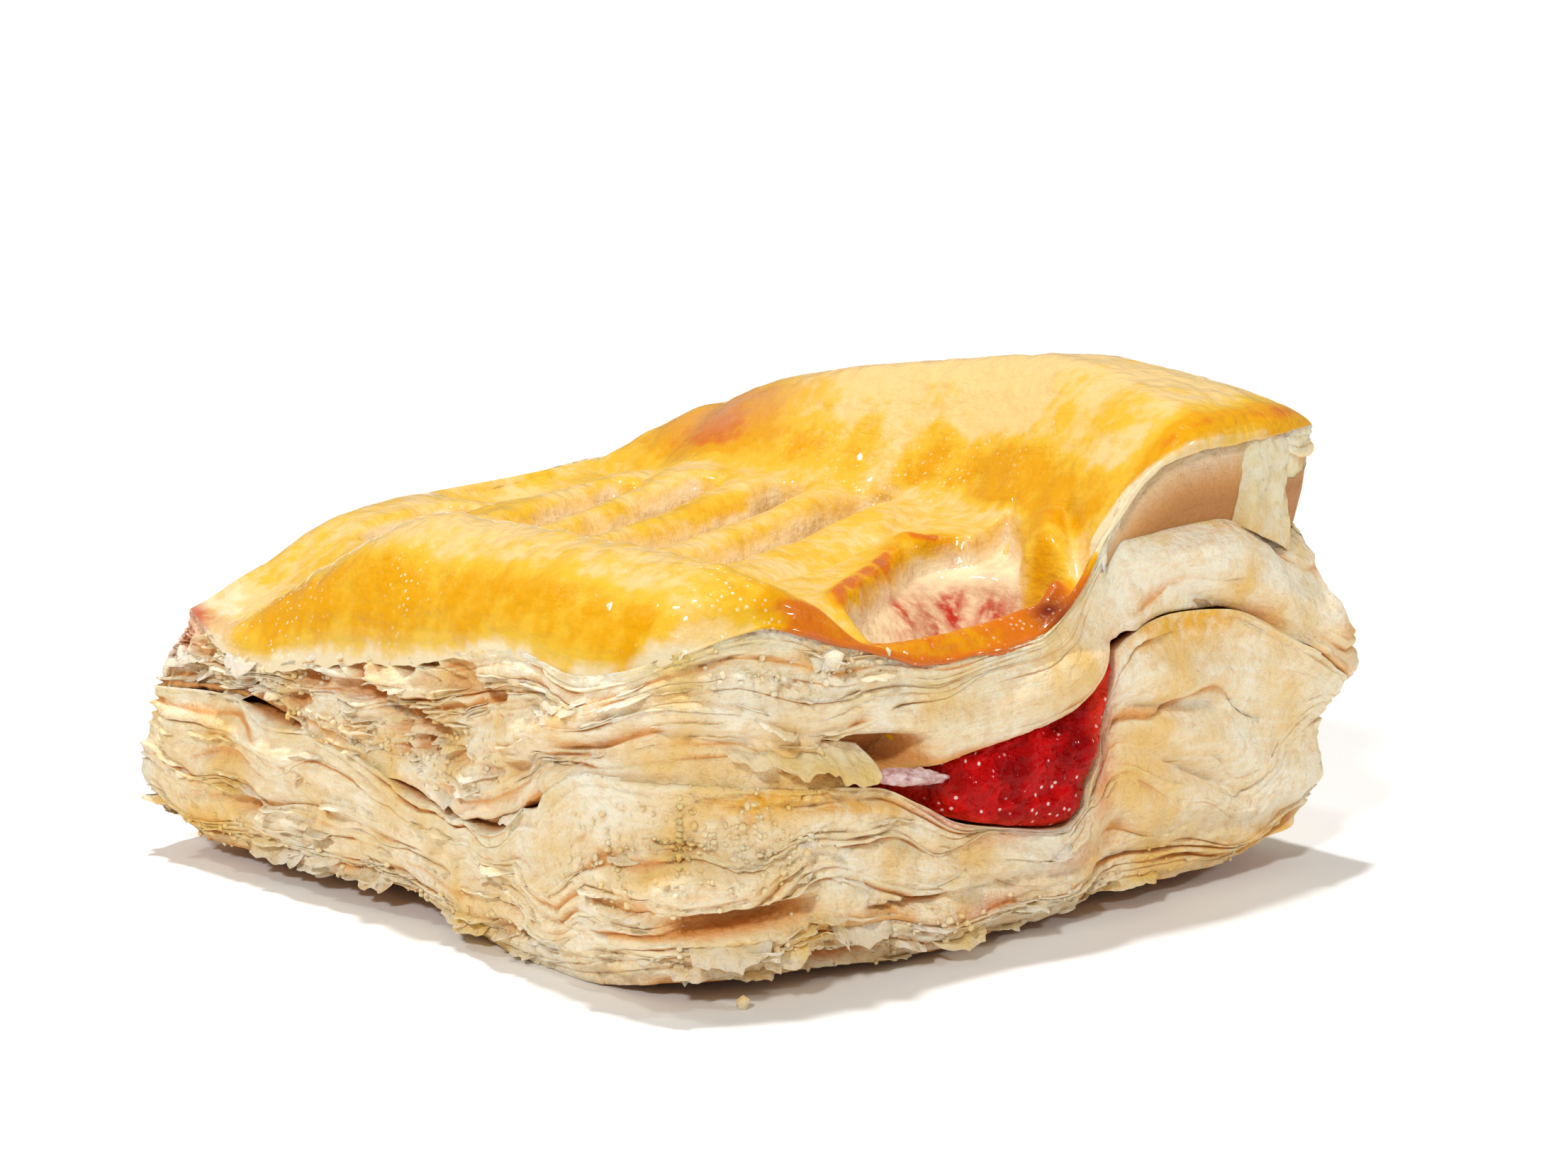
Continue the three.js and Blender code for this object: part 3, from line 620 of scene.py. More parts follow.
def crumbRelief(walk, z, made):
    # bubbles with thin walls between them, and rounded lumps, where the dough has torn open
    far = walk["far"] + 0 * z
    wobble = 0.5 * cloud(far / 3, z / 2, 2)
    _, wall, own = cells((far + 1.5 * wobble) / made["bubble"][0], (z + wobble) / made["bubble"][1], 5)
    spongy = spotsOn(made["spongy"], walk, z)
    spongy = np.clip(spongy, 0, 1) * ease(0.75 + 0.8 * noise(far / 6, z / 3))
    bubble = -made["bubbleDepth"] * (0.6 + 0.4 * own) * ease(wall / 0.5) * spongy
    near, _, ownLump = cells(far / 2.1 + wobble * 0.3, z / 1.7, 19)
    lumpy = np.clip(spotsOn(made["lumpy"], walk, z), 0, 1)
    lump = made["lumpHeight"] * (0.4 + 0.6 * ownLump) * (1 - ease(near / 0.75)) * lumpy
    return bubble, lump, spongy, lumpy


def chipRelief(walk, z, made):
    # plates of dough that broke off at different depths, in several sizes
    far = walk["far"] + 0 * z
    bend = cloud(far / 6, z / 2.5, 3)
    total = 0
    for chip in made["chips"]:
        tilted = z + 0.5 * chip["high"] * bend
        _, wall, own = cells((far + bend) / chip["wide"], tilted / chip["high"], chip["salt"])
        total = total + chip["step"] * own * ease(wall / (0.1 if chip["wide"] > 3 else 0.4))
    broken = spotsOn(made["broken"], walk, z)
    return total * np.clip(made["brokenAll"] + broken, 0, 1.7) + 0.05 * cloud(far / 0.8, z / 0.6, 2)


def dressSide(walk, made, z, out):
    # every kind of relief on a side at height z: how far out it goes, and how deep its holes are
    big = spotsOn(folds, walk, z)
    big = big + spotsOn(made["rolls"], walk, z)
    cut = spotsOn(made["caves"], walk, z)
    bubble, lump, spongy, lumpy = crumbRelief(walk, z, made)
    smooth = np.clip(spotsOn(made["smooth"], walk, z), 0, 0.95)
    calm = (1 - 0.8 * np.clip(cut / 3 + 0.8 * spongy + 0.6 * lumpy, 0, 1)) * (1 - smooth)
    small = out * calm + chipRelief(walk, z, made) * (1 - smooth)
    pit = cut - 1.3 * bubble + 0.9 * np.clip(-small - 0.1, 0, 1.5)
    return big - cut + bubble + lump, small, pit


def lowerSide(walk, made, share, out):
    gap = sideCurve(walk, openingEdge)
    closed = sideCurve(walk, closedAt)
    low = np.where((walk["side"] == "front") & (walk["x"] > 11.6), 0.15, 0.5)
    bottom = lowerBottom(walk["u"], walk["v"])
    slot = sideCurve(walk, slotsAt)
    rim = lowerTop(walk["u"], walk["v"]) + closed * (gap * low + 0.1) - 0.6 * slot
    z = mix(bottom, rim, share)
    tuck = underside["tuck"] * (1 - ease(share / underside["tuckShare"]))
    big, small, cut = dressSide(walk, made, z, out)
    nearRim = 1 - ease((share - 0.97) / 0.03)
    away = big * mix(0.6, 1, nearRim) + small * nearRim - tuck + 0.5 * closed * bell(share - 1, 0.04)
    return walk["x"] + walk["outX"] * away, walk["y"] + walk["outY"] * away, z, cut


def upperSide(walk, made, share, out):
    gap = sideCurve(walk, openingEdge)
    closed = sideCurve(walk, closedAt)
    high = np.where((walk["side"] == "front") & (walk["x"] > 11.6), 0.85, 0.5)
    slot = sideCurve(walk, slotsAt)
    bottom = upperBottom(walk["u"], walk["v"]) - closed * (gap * high + 0.1) + 0.5 * slot
    rim = upperTop(walk["u"], walk["v"])
    plainZ = mix(bottom, rim, share)
    big, small, cut = dressSide(walk, made, plainZ, out)
    small = small + 0.5 * closed * bell(share, 0.04)
    inArch = (walk["side"] == "front") * band(walk["x"], arch["from"], arch["ramp"], arch["to"], arch["ramp"])
    height, depth = arch["height"](share * arch["steps"]), arch["depth"](share * arch["steps"])
    foldTop = arch["foldTop"](walk["x"])
    archZ = np.where(height < 1, mix(bottom, foldTop, height), mix(foldTop, rim, height - 1))
    deepening = ease((walk["x"] - arch["from"]) / (arch["deepFrom"] - arch["from"]))
    sunk = depth * mix(arch["shallow"], 1, deepening)
    within = ease((height - 0.9) / 0.2)
    archBig, archSmall, _ = dressSide(walk, made, archZ, out)
    away = mix(big + small, archBig * mix(1, 0.4, within) + archSmall * mix(1, 0.2, within) - sunk, inArch)
    z = mix(plainZ, archZ, inArch)
    x, y = walk["x"] + walk["outX"] * away, walk["y"] + walk["outY"] * away
    below = crustHeight(x, y) - arch["skin"]
    z = np.where((inArch > 0) & (sunk > arch["skin"]) & (share < 0.999), np.minimum(z, below), z)
    x, y = pulled(x, y, share)
    return x, y, z, cut, inArch * ease((height - 0.8) / 0.3)


def newMaterial(name):
    material = bpy.data.materials.new(name)
    material.use_nodes = True
    return material, material.node_tree, material.node_tree.nodes["Principled BSDF"]


def setSocket(tree, socket, value):
    if isinstance(value, bpy.types.NodeSocket):
        tree.links.new(value, socket)
    else:
        socket.default_value = value


def addNode(tree, kind, **values):
    node = tree.nodes.new("ShaderNode" + kind)
    for name, value in values.items():
        setSocket(tree, node.inputs[name.replace("_", " ")], value)
    return node


def pattern(tree, scale, detail, stretch=(1, 1, 1), kind="Noise", onMap=False):
    # a pattern through the piece, or one drawn out along its leaves on its own map
    where = tree.nodes.new("ShaderNodeUVMap" if onMap else "ShaderNodeTexCoord")
    if onMap:
        where.uv_map = "leaves"
    mapping = addNode(tree, "Mapping", Vector=where.outputs["UV" if onMap else "Object"], Scale=stretch)
    texture = addNode(tree, "Tex" + kind, Vector=mapping.outputs["Vector"], Scale=scale, Detail=detail)
    return texture.outputs["Fac" if kind == "Noise" else "Distance"]


def attributeOf(tree, name):
    node = tree.nodes.new("ShaderNodeAttribute")
    node.attribute_name = name
    return node.outputs["Fac"]


def maths(tree, operation, a, b, clamp=False):
    node = tree.nodes.new("ShaderNodeMath")
    node.operation, node.use_clamp = operation, clamp
    for socket, value in zip(node.inputs, (a, b)):
        setSocket(tree, socket, value)
    return node.outputs["Value"]


def plus(tree, a, b):
    return maths(tree, "ADD", a, b)


def times(tree, a, b):
    return maths(tree, "MULTIPLY", a, b)


def ramp(tree, value, low, high):
    node = addNode(tree, "MapRange", Value=value, From_Min=low, From_Max=high)
    node.interpolation_type = "SMOOTHSTEP"
    return node.outputs["Result"]


def layered(tree, tones, first, layers):
    # the first tone with the others laid over it, each by its own share
    colour = tones[first]
    for name, share in layers:
        node = tree.nodes.new("ShaderNodeMix")
        node.data_type = "RGBA"
        for socket, value in (("Factor", share), ("A", colour), ("B", tones[name])):
            setSocket(tree, node.inputs[socket], value)
        colour = node.outputs["Result"]
    return colour


def dressShader(tree, shader, colour, values, bumps):
    # sets the finish, and lays one bump on another: its pattern, its strength and its depth in metres
    tree.links.new(colour, shader.inputs["Base Color"])
    for name, value in values.items():
        setSocket(tree, shader.inputs[name], value)
    normal = None
    for height, strength, distance in bumps:
        node = addNode(tree, "Bump", Strength=strength, Distance=distance, Height=height)
        if normal:
            tree.links.new(normal, node.inputs["Normal"])
        normal = node.outputs["Normal"]
    tree.links.new(normal, shader.inputs["Normal"])


def tone(red, green, blue):
    # a colour from its everyday 0 to 255 values
    parts = [c / 255 for c in (red, green, blue)]
    return tuple(c / 12.92 if c <= 0.04045 else ((c + 0.055) / 1.055) ** 2.4 for c in parts) + (1,)


doughLook = {
    "tones": {
        "pale": tone(252, 240, 216),
        "cream": tone(243, 217, 168),
        "butter": tone(239, 198, 120),
        "crumb": tone(232, 194, 136),
        # toasted tan, which is also painted shade in the creases, pits and folds
        "toastAndShade": tone(228, 164, 94),
        "gold": tone(240, 180, 62),
        # a brown which is painted shade in the deeper pits and caves, and the browned underside
        "brown": tone(150, 88, 42),
        "stain": tone(208, 74, 60),
    },
    "finish": {
        "Roughness": 0.62,
        "Specular IOR Level": 0.35,
        "Subsurface Weight": 0.35,
        "Subsurface Radius": (1, 0.55, 0.25),
        "Subsurface Scale": 0.0014,
    },
}


def doughMaterial():
    material, tree, shader = newMaterial("flakyDough")
    patches = pattern(tree, 110, 4)
    mottle = pattern(tree, 700, 4)
    lines = pattern(tree, 1, 4, (0.22, 2, 1), onMap=True)
    fibres = pattern(tree, 1, 5, (1.8, 4, 1), onMap=True)
    pores = pattern(tree, 1250, 2, kind="Voronoi")
    warmth = plus(tree, patches, times(tree, lines, 0.4))
    toastAndShade = plus(tree, attributeOf(tree, "toastAndShade"), times(tree, fibres, 0.4))
    colour = layered(tree, doughLook["tones"], "pale", [
        ("cream", ramp(tree, warmth, 0.5, 0.85)),
        ("butter", ramp(tree, patches, 0.54, 0.72)),
        ("crumb", times(tree, ramp(tree, mottle, 0.46, 0.66), 0.4)),
        ("toastAndShade", ramp(tree, toastAndShade, 0.3, 1.05)),
        ("gold", times(tree, attributeOf(tree, "gold"), ramp(tree, mottle, 0.2, 0.65))),
        ("brown", ramp(tree, attributeOf(tree, "brown"), 0.1, 1)),
        ("stain", times(tree, attributeOf(tree, "stain"), ramp(tree, fibres, 0.2, 0.7))),
    ])
    dressShader(tree, shader, colour, doughLook["finish"], [
        (lines, 0.3, 0.0005), (fibres, 0.4, 0.0004), (mottle, 0.75, 0.0007), (pores, 0.4, 0.0004),
    ])
    return material


crustLook = {
    "tones": {
        "pale": tone(244, 207, 138),
        "gold": tone(237, 187, 50),
        "amber": tone(228, 161, 0),
        "orange": tone(214, 112, 10),
        "brown": tone(196, 108, 66),
        "cream": tone(243, 222, 180),
        "shade": tone(192, 140, 78),
        "blush": tone(208, 148, 112),
        # near white: specks of dried glaze, and painted glints
        "bubble": tone(255, 247, 222),
        "stain": tone(190, 44, 22),
        "dark": tone(112, 20, 10),
    },
    "finish": {
        "Specular IOR Level": 0.08,
        "Subsurface Weight": 0.12,
        "Subsurface Radius": (1, 0.5, 0.15),
        "Subsurface Scale": 0.0012,
        "Coat Weight": 0.45,
        "Coat Roughness": 0.06,
    },
}


def crustMaterial():
    material, tree, shader = newMaterial("glazedCrust")
    patches = pattern(tree, 130, 5)
    mottle = pattern(tree, 620, 4)
    specks = pattern(tree, 1500, 3)
    wrinkles = pattern(tree, 330, 4, (1.6, 0.5, 1.2))
    spread, grain = (times(tree, plus(tree, part, -0.5), 0.5) for part in (patches, mottle))
    spread = plus(tree, spread, grain)
    baked = plus(tree, attributeOf(tree, "baked"), spread)
    bare = ramp(tree, plus(tree, attributeOf(tree, "bare"), times(tree, spread, 1.3)), 0.25, 0.8)
    # small white specks of dried egg glaze, in groups, which are also painted glints where the glaze shines
    specksAndGlints = ramp(tree, pattern(tree, 1150, 0, kind="Voronoi"), 0.26, 0.14)
    specksAndGlints = times(tree, times(tree, specksAndGlints, ramp(tree, patches, 0.44, 0.55)), attributeOf(tree, "glazeSpecksAndGlints"))
    colour = layered(tree, crustLook["tones"], "pale", [
        ("gold", ramp(tree, baked, 0.05, 0.36)),
        ("amber", ramp(tree, baked, 0.34, 0.66)),
        ("orange", ramp(tree, baked, 0.74, 1.08)),
        ("brown", ramp(tree, baked, 1.06, 1.6)),
        ("blush", attributeOf(tree, "blush")),
        ("cream", bare),
        ("shade", times(tree, attributeOf(tree, "shade"), 0.9)),
        ("stain", times(tree, attributeOf(tree, "stain"), ramp(tree, mottle, 0.25, 0.6))),
        ("dark", attributeOf(tree, "dark")),
        ("bubble", specksAndGlints),
    ])
    roughness = plus(tree, times(tree, bare, 0.35), 0.16)
    roughness = maths(tree, "ADD", roughness, times(tree, mottle, 0.25), clamp=True)
    dressShader(tree, shader, colour, {**crustLook["finish"], "Roughness": roughness}, [
        (patches, 0.5, 0.0018), (wrinkles, 0.5, 0.001), (mottle, 0.4, 0.0006), (specks, 0.25, 0.0002),
    ])
    return material


guavaLook = {
    "tones": {
        "deep": tone(150, 0, 3),
        "bright": tone(210, 5, 7),
        "thin": tone(236, 62, 34),
        "glint": tone(255, 214, 208),
    },
    "finish": {
        "Roughness": 0.3,
        "Specular IOR Level": 0.04,
        "Subsurface Weight": 0.2,
        "Subsurface Radius": (1, 0.1, 0.06),
        "Subsurface Scale": 0.0015,
        "Coat Weight": 0.15,
        "Coat Roughness": 0.05,
    },
}


def guavaMaterial():
    material, tree, shader = newMaterial("guavaFilling")
    patches = pattern(tree, 260, 4)
    grains = pattern(tree, 1500, 3)
    seeds = pattern(tree, 800, 2, kind="Voronoi")
    glints = ramp(tree, pattern(tree, 880, 0, kind="Voronoi"), 0.22, 0.13)
    colour = layered(tree, guavaLook["tones"], "deep", [
        ("bright", ramp(tree, patches, 0.36, 0.68)),
        ("thin", attributeOf(tree, "thin")),
        ("glint", times(tree, glints, ramp(tree, patches, 0.46, 0.54))),
    ])
    dressShader(tree, shader, colour, guavaLook["finish"], [
        (patches, 0.8, 0.0014), (seeds, 0.8, 0.0007), (grains, 0.6, 0.0003),
    ])
    return material


lowerDough = {
    "around": 960,
    "leaves": 13,
    "seed": 2.0,
    "relief": {
        "crease": {"front": 0.75, "left": 0.5, "right": 0.55, "back": 0.7},
        "ragged": {"front": 0.16, "left": 0.1, "right": 0.05, "back": 0.05},
        "flake": {"front": 2.2, "left": 1.6, "right": 0.7, "back": 0.7},
        "tip": 0.6,
    },
    # plates that broke off: their width, height and step outwards, in mm
    "chips": [
        {"wide": 6.5, "high": 1.7, "step": 0.5, "salt": 40},
        {"wide": 2.6, "high": 0.9, "step": 0.26, "salt": 90},
        {"wide": 1.1, "high": 0.5, "step": 0.12, "salt": 140},
    ],
    "brokenAll": 0.5,
    "broken": {
        "front": [(-36, 15, 12, 6, 0.6), (-30, 4, 18, 4, 0.8)],
        "left": [(-33, 15, 8, 7, 0.6), (43, 6, 9, 5, 0.5), (5, 3, 25, 3, 0.5)],
    },
    "smooth": {
        "left": [(12, 13, 24, 4.5, 0.55, 0.2)],
        "front": [(22, 20, 12, 8, 0.55), (42, 12, 10, 9, 0.35), (-6, 11, 10, 2, 0.3)],
    },
    "caps": (0.97, 0.9, 0.7, 0.4),
    "mapHeight": 20,
    # the upper leaves are thicker near the front left corner
    "thickCorner": {"x": -43, "y": -34, "reach": 15, "more": 1.6, "above": 0.45},
    "mouth": {"thinFrom": -13, "fanFrom": 7.5, "fanTo": 48, "above": 0.54, "least": 0.1, "most": 2.4},
    "bubble": (2.6, 1.1),
    "bubbleDepth": 0.9,
    "lumpHeight": 0.8,
    "spongy": {
        "left": [(38, 9, 7, 3, 0.7), (-20, 4, 12, 2, 0.6)],
        "front": [(-33, 15, 8, 3, 0.2), (-28, 5, 12, 3.5, 0.8), (5, 3.5, 12, 2, 0.6)],
        "right": [(0, 10, 30, 5, 0.5)],
        "back": [(0, 9, 30, 5, 0.6)],
    },
    "lumpy": {
        "front": [(-38, 17, 6, 3, 0.5), (-32, 5, 9, 2.2, 0.8), (-18, 12, 6, 2, 0.5)],
        "left": [(-33, 15, 7, 5, 0.6)],
    },
    "rolls": {
        "left": [
            (24, 15.2, 17, 1.1, 1.1, 0.15), (14, 12.1, 22, 0.7, -0.9, 0.17), (8, 10.6, 24, 1, 1, 0.19),
            (2, 7.6, 22, 0.6, -0.8, 0.17), (-6, 6.2, 20, 0.9, 0.8, 0.12), (-20, 9.5, 10, 1.3, 0.9, 0.1),
        ],
        "front": [
            (-38, 12.6, 7, 2, 1.7, 0, 3), (-34, 20.3, 3.5, 1.2, 0.9), (-22, 16.4, 9, 1.3, 0.9, -0.2),
            (-41, 12.6, 4, 1.6, 1.4), (-8, 9.6, 12, 0.9, 0.8, -0.1), (-4, 7.2, 14, 0.6, -0.8, -0.05),
            (21, 26, 9, 2.2, 1.3, -0.1), (20, 22.6, 9, 0.9, -1.5, -0.15),
            (27, 17.6, 14, 1.8, 1.2, -0.42), (26, 13.8, 13, 0.9, -1.4, -0.45),
            (31, 9.8, 13, 1.4, 1, -0.2), (33, 4.4, 13, 1, 1.2, 0.05),
        ],
    },
    "caves": {
        "front": [
            (-34.8, 9, 7, 1.1, 4.2, 0.08, 4), (-24, 3, 6, 0.5, 2.6, 0, 4),
            (-17, 7.6, 4, 0.4, 1.8, 0, 4), (16, 2.9, 5, 0.6, 2.5, 0, 3), (13, 9, 2.5, 2, 1.6),
        ],
        "left": [
            (29.5, 8.4, 2.4, 0.9, 2.2, 0, 3), (20, 6.4, 3, 0.5, 1.6, 0, 3), (-14, 3.5, 4, 0.8, 2, 0, 3),
        ],
    },
    "gold": {
        "front": [
            (-34, 20.3, 3.5, 1.8, 1), (-24, 19, 9, 1.1, 0.8, -0.22), (22, 31.5, 11, 2.6, 1.1),
            (40, 4.5, 14, 2.2, 0.6), (-28, 6, 12, 2.5, 0.4),
        ],
        "left": [(40, 5, 8, 2.2, 0.5)],
    },
    "stains": {
        "front": [
            (-6, 5.2, 6.5, 0.9, 0.5, 0.05), (7, 8.2, 3, 1.6, 0.4), (-12, 15.6, 4, 0.7, 0.7, -0.5),
            (10.6, 20, 1.3, 7, 0.9), (0, 12.2, 9, 0.7, 0.5),
        ],
    },
}


def leafMap(piece, walk, number, up):
    # the map that the leaves' pattern follows: mm round the side against mm up it
    uv = piece.data.uv_layers.new(name="leaves")
    loops = np.empty(len(piece.data.loops), int)
    piece.data.loops.foreach_get("vertex_index", loops)
    starts = np.empty(len(piece.data.polygons), int)
    piece.data.polygons.foreach_get("loop_start", starts)
    sizes = np.empty(len(piece.data.polygons), int)
    piece.data.polygons.foreach_get("loop_total", sizes)
    along = walk["far"][number][loops]
    furthest = np.repeat(np.maximum.reduceat(along, starts), sizes)
    along = np.where(furthest - along > walk["round"] / 2, along + walk["round"], along)
    uv.data.foreach_set("uv", np.stack([along, up[loops]], 1).astype(np.float32).ravel())


def paintWall(piece, made, walk, wall, number, ring, onCap):
    # colours of the side, kept as a value from 0 to 1 for each kind of baking, painted shade or stain
    share, crease, z, cut = wall["share"], wall["crease"], wall["z"], wall["cut"]

    def spots(name):
        return spotsOn(made[name], walk, z)

    # painted shade: the creases between the leaves and the pits are made darker; the bottom of the side is
    # toasted
    toastAndShade = 0.9 * crease + 0.3 * ease(1 - share / 0.2) + 0.28 * cut
    toastAndShade = toastAndShade * (1 - wall.get("inArch", 0)) + wall.get("toastAndShade", 0)
    # each kind's values on the side, and its value inside the pastry
    for name, values, inside in (
        ("toastAndShade", toastAndShade, 1),
        # brown on the side is painted shade in the deeper pits and caves
        ("brown", 0.14 * (cut - 1), 0.6),
        ("gold", spots("gold"), 0),
        ("stain", spots("stains"), 0),
    ):
        paint(piece, name, np.where(onCap, inside, np.clip(values, 0, 1)[ring, number]))


def finishWall(piece, made, walk, wall, places, cap, node, material):
    # the side's vertices go to the wall's places, and the others to the caps'
    number, ring, onCap = places
    side = (wall[name][ring, number] for name in ("x", "y", "z"))
    place(piece, *(np.where(onCap, inner, outer) for inner, outer in zip(cap, side)))
    leafMap(piece, walk, number, np.where(onCap, 0, made["mapHeight"] * wall["share"][ring, number]))
    paintWall(piece, made, walk, wall, number, ring, onCap)
    finishPiece(piece, [node], material)
    print(piece.name, "made")
    return walk, wall


def makeLowerDough(material):
    made = lowerDough
    walk = walkRound(made["around"])
    steps = made["leaves"] * len(leafProfile["up"])
    piece = drum("lowerDough", made["around"], steps, made["caps"])
    numbers = np.arange(made["leaves"])[:, None] / made["leaves"]
    thick = made["thickCorner"]
    nearCorner = bell(np.hypot(walk["x"] - thick["x"], walk["y"] - thick["y"]), thick["reach"])
    swell = 1 + thick["more"] * nearCorner * ease((numbers - thick["above"]) / 0.3)
    # the upper leaves thin out under the filling and fan out again from the right end of the mouth
    mouth = made["mouth"]
    atFront = walk["side"] == "front"
    thin = band(walk["x"], mouth["thinFrom"], 8, mouth["fanFrom"] + 4, 4) * atFront
    fan = band(walk["x"], mouth["fanFrom"], 4, mouth["fanTo"], 10) * atFront
    isUpper = numbers > mouth["above"]
    swell = swell * np.where(isUpper, mix(1, mouth["least"], thin) * mix(1, mouth["most"], fan), 1)
    share, out, crease = leafWall(walk, made, swell)
    x, y, z, cut = lowerSide(walk, made, share, out)
    number, ring, low, onCap, _, u, v = drumPlaces(piece, walk, steps)
    shrink = np.where(low, underside["shrink"], 1)
    capX, capY = planAt(u, v)
    cap = (capX * shrink, capY * shrink, np.where(low, lowerBottom(u, v), lowerTop(u, v)))
    wall = {"share": share, "crease": crease, "x": x, "y": y, "z": z, "cut": cut}
    return finishWall(piece, made, walk, wall, (number, ring, onCap), cap, "lower_sheet", material)


upperDough = {
    "around": 960,
    "leaves": 12,
    "seed": 57.0,
    "relief": {
        "crease": {"front": 0.28, "left": 0.55, "right": 0.5, "back": 0.7},
        "ragged": {"front": 0.12, "left": 0.16, "right": 0.05, "back": 0.06},
        "flake": {"front": 1.3, "left": 2.0, "right": 0.5, "back": 0.9},
        "tip": 0.5,
    },
    "chips": [
        {"wide": 6, "high": 1.8, "step": 0.45, "salt": 60},
        {"wide": 2.4, "high": 0.9, "step": 0.24, "salt": 110},
        {"wide": 1.0, "high": 0.5, "step": 0.12, "salt": 160},
    ],
    "brokenAll": 0.45,
    "broken": {
        "left": [(8, 21, 22, 3, 0.7), (40, 24, 9, 5, 0.6)],
        "front": [(-26, 32, 16, 3, 0.7)],
    },
    "smooth": {
        "left": [(-24, 26.8, 12, 2, 0.9, -0.35)],
        "front": [
            (-33, 28.2, 9, 1.8, 0.85, -0.1), (0, 26.5, 13, 3, 0.7, 0.15), (-6, 31, 22, 3, 0.5),
            (8, 35, 6, 6, 0.8), (26, 38, 12, 4, 0.65), (40, 33, 10, 6, 0.4),
        ],
    },
    "caps": (0.98, 0.9, 0.7, 0.4),
    "mapHeight": 18,
    # the lowest leaves are thicker over the mouth
    "overMouth": {"x": -2, "reach": 12, "more": 2.5, "up": 0.1, "upReach": 0.15},
    "underLip": {"height": 1.2, "inwards": 0.05},
    # the arch's side is made darker towards its bottom
    "archLowDarkening": curve([(34, 0.6), (36, 0.25), (38, 0), (50, 0)]),
    "belowCrust": 0.25,
    "capLevel": 22,
    "bubble": (5.2, 2.6),
    "bubbleDepth": 2.8,
    "lumpHeight": 1.2,
    "spongy": {
        "left": [
            (22, 23, 18, 3.5, 1), (-2, 20, 12, 3.5, 1), (-10, 28.5, 12, 2.5, 1), (10, 26, 10, 3, 0.9),
            (38, 24, 8, 4, 0.8),
        ],
        "front": [(-33, 33, 8, 1.8, 0.8), (-28, 24, 6, 1.6, 0.7)],
        "right": [(0, 32, 30, 8, 0.5)],
        "back": [(0, 27, 30, 6, 0.6)],
    },
    "lumpy": {
        "front": [(-26.8, 33.6, 2.2, 1.8, 1), (-33, 33, 7, 1.2, 0.7)],
        "left": [(-30, 32, 7, 2, 0.6), (12, 20, 8, 1.5, 0.8)],
    },
    "rolls": {
        "left": [
            (-24, 26.6, 13, 1.9, 2.2, -0.35), (-24, 23.4, 11, 1, -1.5, -0.35),
            (4, 26.2, 7, 1.4, 1.3, 0.2), (22, 27, 9, 1.2, 0.9, 0.05),
        ],
        "front": [
            (-33, 28.4, 9, 1.6, 1.6, -0.12, 3), (2, 26.5, 11, 3.2, 1.3, 0.2),
            (0, 30.2, 12, 0.6, -0.6, 0.1), (-27, 24.6, 9, 1.1, 1.3, -0.18), (-20, 30.8, 14, 0.7, 0.6),
            (-6, 25, 10, 2, 0.7, 0.15), (36, 33, 14, 1.6, 1, -0.35), (34, 29.8, 14, 0.9, -1.2, -0.4),
            (25, 38.5, 9, 1.8, 0.8),
        ],
    },
    "caves": {
        "front": [(-19.6, 23.2, 5.8, 1.7, 4.2, -0.1, 6)],
        "left": [
            (36, 26.2, 1.8, 0.9, 2, 0, 3), (19, 24.4, 2.6, 1, 2.6, 0, 3),
            (12, 24.4, 4.5, 0.9, 2.2, -0.1, 3), (3, 23, 5, 0.9, 2.4, 0.25, 3),
            (-8, 27.6, 3, 1.2, 1.8, 0, 3),
        ],
    },
    "gold": {
        "left": [(10, 19.4, 6, 1.6, 0.5), (-26, 28, 8, 2, 0.35, -0.35)],
        "front": [(-27, 33.8, 3, 1.8, 0.7), (-28, 24.6, 8, 1.4, 0.35, -0.18), (30, 42.5, 12, 1.6, 0.9)],
    },
    "stains": {
        "left": [(46, 26, 3.5, 3.5, 0.6), (26, 18.8, 4, 0.9, 0.6)],
        "back": [(-43, 26, 4, 4, 0.5)],
        "front": [(11, 27, 1.5, 4, 0.5)],
    },
}


def makeUpperDough(material):
    made = upperDough
    walk = walkRound(made["around"])
    steps = made["leaves"] * len(leafProfile["up"])
    piece = drum("upperDough", made["around"], steps, made["caps"])
    numbers = np.arange(made["leaves"])[:, None] / made["leaves"]
    thick = made["overMouth"]
    overMouth = bell(walk["x"] - thick["x"], thick["reach"]) * (walk["side"] == "front")
    swell = 1 + thick["more"] * overMouth * bell(numbers - thick["up"], thick["upReach"])
    share, out, crease = leafWall(walk, made, swell)
    out = out * ease(share / 0.03) * (1 - 0.8 * ease((share - 0.93) / 0.05))
    x, y, z, cut, inArch = upperSide(walk, made, share, out)
    # near the rim the side steps back behind the lip of the crust
    rim = upperTop(walk["u"], walk["v"])
    lip = made["underLip"]
    onLeft = ease(walk["facing"]["left"] * 1.6 - 0.3)
    back = lip["inwards"] * ease(1 - (rim - z) / lip["height"]) * (1 - 1.4 * onLeft)
    x, y = x - walk["outX"] * back, y - walk["outY"] * back
    z = np.minimum(z, rim - made["belowCrust"] * (1 - 0.9 * onLeft))
    number, ring, low, onCap, radius, u, v = drumPlaces(piece, walk, steps)
    sunken = mix(upperTop(u, v) - 1, made["capLevel"], ease((1 - radius) / 0.06))
    cap = (*pulled(*planAt(u, v), np.where(low, 0, 1)), np.where(low, upperBottom(u, v), sunken))
    # the top of the front side is made darker just under the crust's rim
    underRim = 0.2 * ease((share - 0.9) / 0.1) * (walk["side"] == "front")
    wall = {"share": share, "crease": crease, "x": x, "y": y, "z": z, "cut": cut, "inArch": inArch,
            "toastAndShade": inArch * made["archLowDarkening"](z) + underRim}
    return finishWall(piece, made, walk, wall, (number, ring, onCap), cap, "upper_sheet", material)


